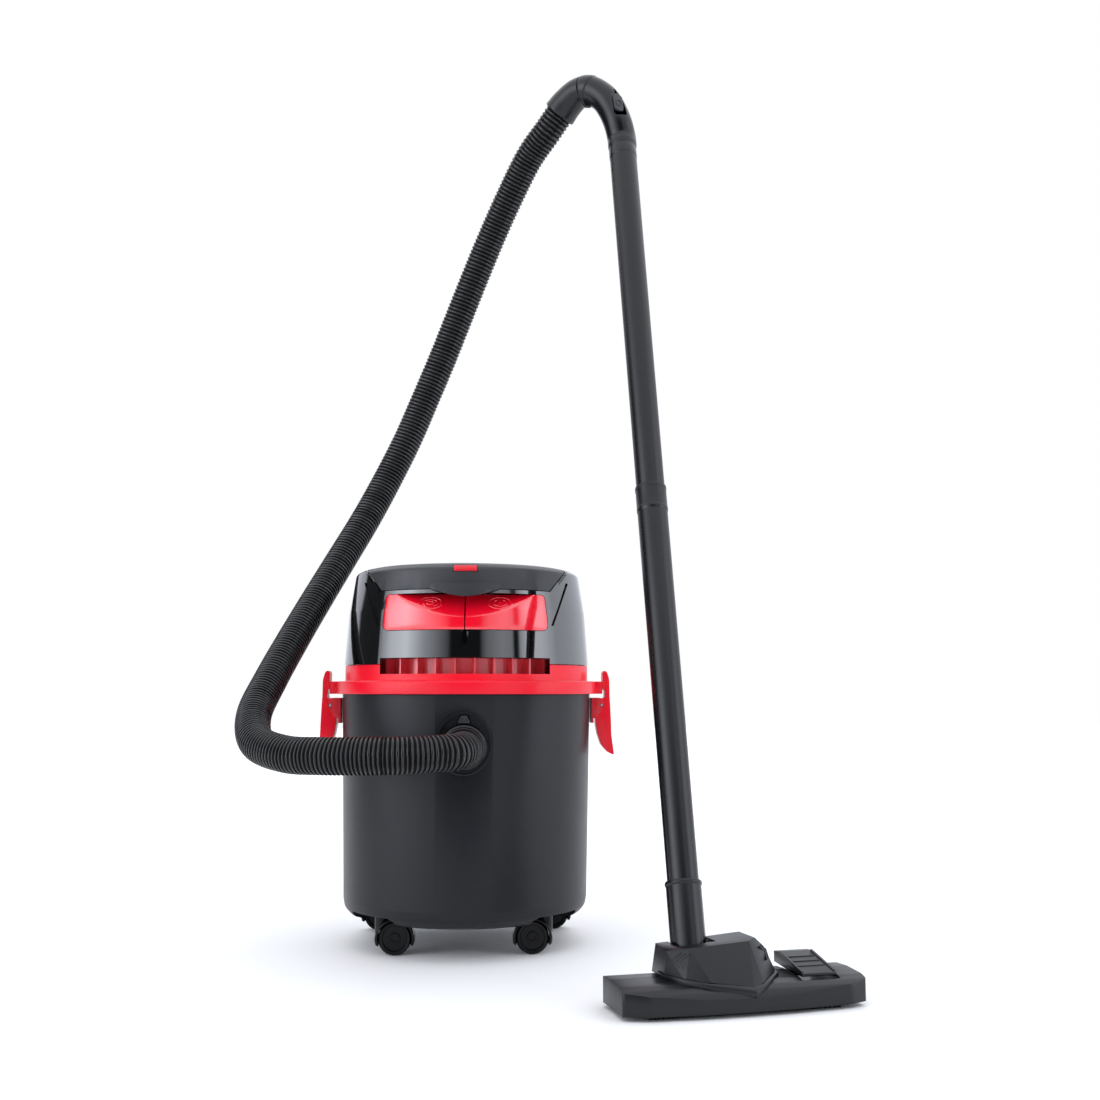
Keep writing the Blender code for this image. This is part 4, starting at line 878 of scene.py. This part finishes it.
def make_grip():
    points = grip_points()
    split = round(CUFF_SHARE * (len(points) - 1))
    joint, across = points[split], (points[split + 1] - points[split - 1]).normalized()
    up = (WAND_TOP - WAND_FOOT).normalized()
    handle = points[: split + 1]
    below = [handle[0] - up * 0.0005, *handle[1:]]
    radius = [GRIP_R - 0.001 * max(0.0, 1 - k / 4) for k in range(len(below))]
    radius = [r + (0.0009 if split - 9 < k < split else 0.0) for k, r in enumerate(radius)]
    grip = swept(below, radius, 72, inner=GRIP_R - WALL)
    along = (points[18] - points[6]).normalized()
    out = (SLIDER_FACING - along * along.dot(SLIDER_FACING)).normalized()
    place = shift(SLIDER_AT) @ Matrix((out, along.cross(out), along)).transposed().to_4x4()
    seat = placed(prism(filleted(trapezium(0.0085, -0.024, 0.0085, 0.024), 0.005, 8), 0.0, 0.02, "X"), place)
    hook = placed(beveled(prism([(-0.015, -0.014), (-0.01, -0.0235), (-0.002, -0.0235), (0.003, -0.014)],
            -0.003, 0.003, "Y"), 0.0012, 3),
                  shift(points[split - 9]))
    ports = [placed(rod(0.0022, (-0.006, 0, z), (0.01, 0, z), 20), place) for z in (0.015, 0.019)]
    grip = cut(join(grip, hook), seat)
    piece("bent_grip", beveled(cut(grip, *ports), 0.0005, 2, 40), "black", "black_plastic", "handle_tube")
    slider = beveled(placed(prism(filleted(trapezium(0.0074, -0.016, 0.0074, 0.0095), 0.006, 8), 0.0003,
            0.0036, "X"), place), 0.0008, 3)
    ring = turned(filleted([(0.0036, 0.003), (0.0048, 0.003), (0.0048, 0.0044), (0.0036, 0.0044)], 0.0005),
                  48,
                  place @ shift((0, 0, -0.004)) @ spin(math.radians(90), "Y"))
    piece("air_slider", merged(slider, ring), "brow", "dark_grey_plastic", "suction_slider")

    cuff = points[split:]
    cuff[0] = joint + across * 0.0003
    radius = [0.0194 + 0.0034 * k / (len(cuff) - 1) for k in range(len(cuff))]
    radius[-1] -= 0.0008
    body = swept(cuff, radius, 72, inner=0.0175)
    piece("hose_cuff_body", beveled(body, 0.0006, 2, 50), "black", "black_plastic", "hose_cuff")


def along_wand(profile):
    """Turns a (radius, metres below the wand's top) outline about the wand's axis."""
    down = (WAND_FOOT - WAND_TOP).normalized()
    place = shift(WAND_TOP) @ down.to_track_quat("Z", "Y").to_matrix().to_4x4()
    return turned(profile, 72, place)


def make_wand():
    length = (WAND_FOOT - WAND_TOP).length
    split = WAND_SPLIT * length
    upper = filleted([(0.015, 0.0), (0.0181, 0.0), (0.0181, 0.015), (0.0176, 0.017), (0.0163, split + 0.04),
                      (0.0135, split + 0.04)], 0.0005, 3)
    piece("wand_upper_tube", along_wand(upper), "black", "black_plastic", "wand_upper")
    low = split + 0.0003
    lower = filleted([
        (0.0168, low), (0.0181, low), (0.0181, low + 0.004), (0.0177, low + 0.0046), (0.0177, low + 0.027),
        (0.018, low + 0.0276),
        (0.018, low + 0.03), (0.0173, low + 0.033), (0.0158, length + 0.04), (0.013, length + 0.04),
        (0.016, low + 0.046), (0.0168, low + 0.043),
    ], 0.0004, 3)
    piece("wand_lower_tube", along_wand(lower), "black", "black_plastic", "wand_lower")


def pivot_point():
    """Where the wand's line meets the height of the tool's hinge."""
    down = WAND_FOOT - WAND_TOP
    return WAND_FOOT + down * ((NECK_Z - WAND_FOOT.z) / down.z)


TOOL = shift(TOOL_AT) @ spin(TOOL_TURN, "Z")
NECK_U, NECK_V, _ = TOOL.inverted() @ pivot_point()
PLAN = ((-0.1235, -0.03), (-0.1, -0.0385), (-0.05, -0.043), (0.0, -0.044), (0.05, -0.0425), (0.105, -0.0375),
        (0.1235, -0.03), (0.1235, 0.033), (0.115, 0.041), (-0.115, 0.041), (-0.1235, 0.033))
SECTION = ((-0.046, SOLE_Z), (-0.046, 0.014), (-0.04, 0.0225), (-0.02, 0.0285), (0.01, 0.03), (0.036, 0.0285),
           (0.043, 0.02), (0.043, SOLE_Z))
PEDAL_U, PEDAL_PIVOT = (0.06, 0.096), (0.01, 0.0265)


def channel():
    """A cutter for the gap in which the wand's foot tilts."""
    return span_box(both(0.0195, NECK_U), (NECK_V - 0.02, 0.06), (0.016, 0.08))


def trunnion():
    """A cutter for the seat of the foot's pins."""
    return rod(0.0045, (NECK_U - 0.028, NECK_V, NECK_Z), (NECK_U + 0.03, NECK_V, NECK_Z), 32)


def make_tool_body():
    corners = [0.004, 0.02, 0.03, 0.03, 0.03, 0.02, 0.004, 0.008, 0.012, 0.012, 0.008]
    body = common(prism(filleted(PLAN, corners, 8), SOLE_Z, 0.032),
                  prism(filleted(SECTION, [0, 0.012, 0.02, 0.02, 0.03, 0.012, 0.008, 0], 8), -0.13, 0.13,
                        "X"))
    mouth = span_box(both(0.1), (-0.02, 0.005), (0.0, 0.015))
    duct = span_box(both(0.012, NECK_U), (-0.01, NECK_V + 0.008), (0.01, 0.04))
    well = span_box((PEDAL_U[0] - 0.002, PEDAL_U[1] + 0.002), (-0.027, 0.06), (0.019, 0.05))
    pin = rod(0.0024, (PEDAL_U[0] - 0.006, *PEDAL_PIVOT), (PEDAL_U[1] + 0.006, *PEDAL_PIVOT), 24)
    slots = [span_box(both(0.099), both(0.0017, v), (0, 0.015)) for v in both(0.029)]
    wells, axles = [], []
    for side in (-1, 1):
        u = side * 0.112
        wells.append(span_box(both(0.0056, u), (0.0215, 0.06), (0, 0.0165)))
        axles.append(rod(0.0021, (u - 0.009, 0.03, 0.0075), (u + 0.009, 0.03, 0.0075), 24))
        roller = turned(filleted([(0, -0.005), (0.0075, -0.005), (0.0075, 0.005), (0, 0.005)],
                [0, 0.001, 0.001, 0], 4), 48,
                        shift((u, 0.03, 0.0075)) @ spin(math.radians(90), "Y"), closed=False)
        pins = rod(0.0018, (u - 0.008, 0.03, 0.0075), (u + 0.008, 0.03, 0.0075), 24)
        name = "left" if side < 0 else "right"
        piece(f"roller_{name}", placed(join(roller, pins), TOOL), "rubber", "rubber", f"tool_roller_{name}")
    body = cut(cut(body, mouth, *slots), duct)
    body = cut(cut(body, channel(), well), trunnion(), pin)
    body = cut(cut(body, *wells), *axles)
    piece("tool_base", placed(beveled(body, 0.0006, 2, 35), TOOL), "tool", "black_plastic", "tool_body")


def chevrons(u, turn):
    """Raised chevron ribs for a facet of the cover, as flat strips that point outwards."""
    found = []
    for k in range(3):
        for lean in (-1, 1):
            rib = span_box(both(0.0058), both(0.0006), (-0.001, 0.0005))
            turned_rib = spin(math.radians(38 * lean * turn), "Z")
            placed(rib, shift((u + 0.0046 * (k - 1) * turn, lean * 0.0034, 0)) @ turned_rib)
            found.append(beveled(rib, 0.0003, 2))
    return merged(*found)


def hull(points):
    """The smallest convex body round the points, drawn in the floor tool's own frame."""
    bm = bmesh.new()
    made = bmesh.ops.convex_hull(bm, input=[bm.verts.new(point) for point in points])
    bmesh.ops.delete(bm, geom=list(set(made["geom_interior"] + made["geom_unused"])), context="VERTS")
    bmesh.ops.dissolve_limit(bm, angle_limit=math.radians(2), verts=bm.verts, edges=bm.edges)
    return from_bmesh(bm)


BIB_EDGE = (  # the bib's front edge, which comes to a blunt point and droops with the tool's front
    (-0.072, 0.0, 0.0335), (-0.06, -0.022, 0.0325), (-0.038, -0.034, 0.029), (-0.01, -0.0405, 0.0262),
    (0.003, -0.045, 0.0235), (0.016, -0.038, 0.0275), (0.04, -0.012, 0.033), (0.042, 0.02, 0.0335),
    (-0.072, 0.02, 0.0335),
)
COVER_FOOT = (
    (-0.071, 0.039, 0.029), (-0.071, 0.004, 0.029), (-0.058, -0.0195, 0.03), (-0.037, -0.031, 0.0305),
    (-0.01, -0.0375, 0.028), (0.002, -0.0405, 0.026), (0.014, -0.0355, 0.029), (0.037, -0.011, 0.034),
    (0.04, 0.02, 0.034), (0.04, 0.039, 0.0305),
)
COVER_TOP = (
    (-0.068, 0.036, 0.056), (-0.068, 0.006, 0.054), (-0.05, -0.01, 0.0585), (0.01, -0.012, 0.063),
    (0.02, -0.002, 0.064), (0.02, 0.036, 0.063), (0.033, 0.006, 0.054), (0.033, 0.036, 0.054),
)


def make_tool_cover():
    cover = hull([*COVER_FOOT, *COVER_TOP])
    # Two fields of chevrons lie on the sloping front, either side of the middle facet.
    marks = []
    for towards, turn in ((Vector((-0.6, -0.65, 0.45)), 1), (Vector((0.75, -0.5, 0.45)), -1)):
        facet = max(cover.data.polygons, key=lambda face: face.normal.dot(towards.normalized()))
        away = facet.normal.copy()
        level = Vector((0, 0, 1)).cross(away).normalized()
        facing = Matrix((level, away.cross(level), away)).transposed().to_4x4()
        marks.append(placed(chevrons(0.0, turn), TOOL @ shift(facet.center) @ facing))
    cover = cut(cut(cover, channel()), trunnion())
    bib = hull([*BIB_EDGE, *[(u, v, z - 0.006) for u, v, z in BIB_EDGE]])
    cover = placed(merged(beveled(cover, 0.0014, 3, 14), beveled(bib, 0.0012, 3, 40)), TOOL)
    piece("tool_cover_shell", merged(cover, *marks), "tool", "black_plastic", "tool_cover")


def make_pedal_and_brushes():
    plate = prism(filleted(
        [(-0.0225, 0.0285), (-0.0225, 0.0315), (0.03, 0.0425), (0.042, 0.0415), (0.042, 0.031),
         (0.015, 0.029),
         (0.014, 0.0235), (0.006, 0.0235), (0.004, 0.0285)], 0.001, 3), *PEDAL_U, "X")
    ribs = [span_box((PEDAL_U[0] + 0.004, PEDAL_U[1] - 0.004), both(0.0014, v), (z - 0.002, z + 0.0006))
            for v, z in ((-0.005, 0.0352), (0.006, 0.0375), (0.017, 0.0398))]
    rail = [(-0.02, 0.031), (0.029, 0.0413), (0.029, 0.0435), (-0.02, 0.0332)]
    ribs += [prism(rail, low, low + 0.0025, "X") for low in (PEDAL_U[0], PEDAL_U[1] - 0.0025)]
    pin = rod(0.002, (PEDAL_U[0] - 0.005, *PEDAL_PIVOT), (PEDAL_U[1] + 0.005, *PEDAL_PIVOT), 24)
    pedal = placed(beveled(join(plate, *ribs, pin), 0.0005, 2, 35), TOOL)
    piece("pedal_plate", pedal, "tool", "black_plastic", "brush_pedal")
    for name, v in (("front", -0.029), ("rear", 0.029)):
        holder = beveled(span_box(both(0.098), both(0.0013, v), (0.0072, 0.0105)), 0.0003, 2)
        tufts = [rod(0.001, (-0.0965 + 0.0024 * k, v, 0.0075),
                     (-0.0965 + 0.0024 * k, v + 0.0003 * (-1) ** k, 0.0001), 8, 0.0011) for k in range(81)]
        piece(f"bristles_{name}", placed(merged(holder, *tufts), TOOL), "bristle", "bristle", f"brush_{name}")


def make_neck():
    pivot = pivot_point()
    down = (WAND_FOOT - WAND_TOP).normalized()
    length, reach = (WAND_FOOT - WAND_TOP).length, (pivot - WAND_TOP).length
    collar = along_wand(filleted([
        (0.0163, length - 0.004), (0.0183, length - 0.004), (0.0188, length - 0.002),
        (0.0188, length - 0.001), (0.0178, length + 0.001),
        (0.0176, reach - 0.006), (0.012, reach - 0.002), (0.012, length + 0.043), (0.0163, length + 0.041)],
        0.0005, 3))
    across = shift(pivot) @ spin(TOOL_TURN, "Z")
    knuckle = placed(rod(0.0162, (-0.018, 0, 0), (0.018, 0, 0), 72, edge=0.001), across)
    pins = placed(rod(0.004, (-0.026, 0, 0), (0.028, 0, 0), 32), across)
    neck = cut(join(collar, knuckle, pins), rod(0.011, pivot - down * 0.02, pivot + down * 0.03, 48))
    piece("neck_knuckle", beveled(neck, 0.0005, 2, 40), "black", "black_plastic", "tool_neck")


INSIDE = {  # parts of the CAD that keep their own shape and take a finished material
    "motor_housing": "shell", "motor_rotor": "copper", "motor_gasket": "rubber", "float_cage": "white",
    "float_ball": "rubber",
    "filter": "paper", "filter_retainer": "shell", "cord_reel": "white", "reel_axle": "steel",
    "power_spring": "steel",
    "rewind_spring": "steel", "power_switch": "white", "rewind_switch": "white",
}


def finish_inside():
    for node, look in INSIDE.items():
        found = frame["nodes"][node]
        for slot in found.material_slots:
            slot.material = LOOKS[look]


make_camera()
make_studio()
make_hose()
make_tank()
make_casters()
make_latches()
make_head_base()
make_shells()
make_carry_handle()
make_buttons()
make_grip()
make_wand()
make_tool_body()
make_tool_cover()
make_pedal_and_brushes()
make_neck()
finish_inside()
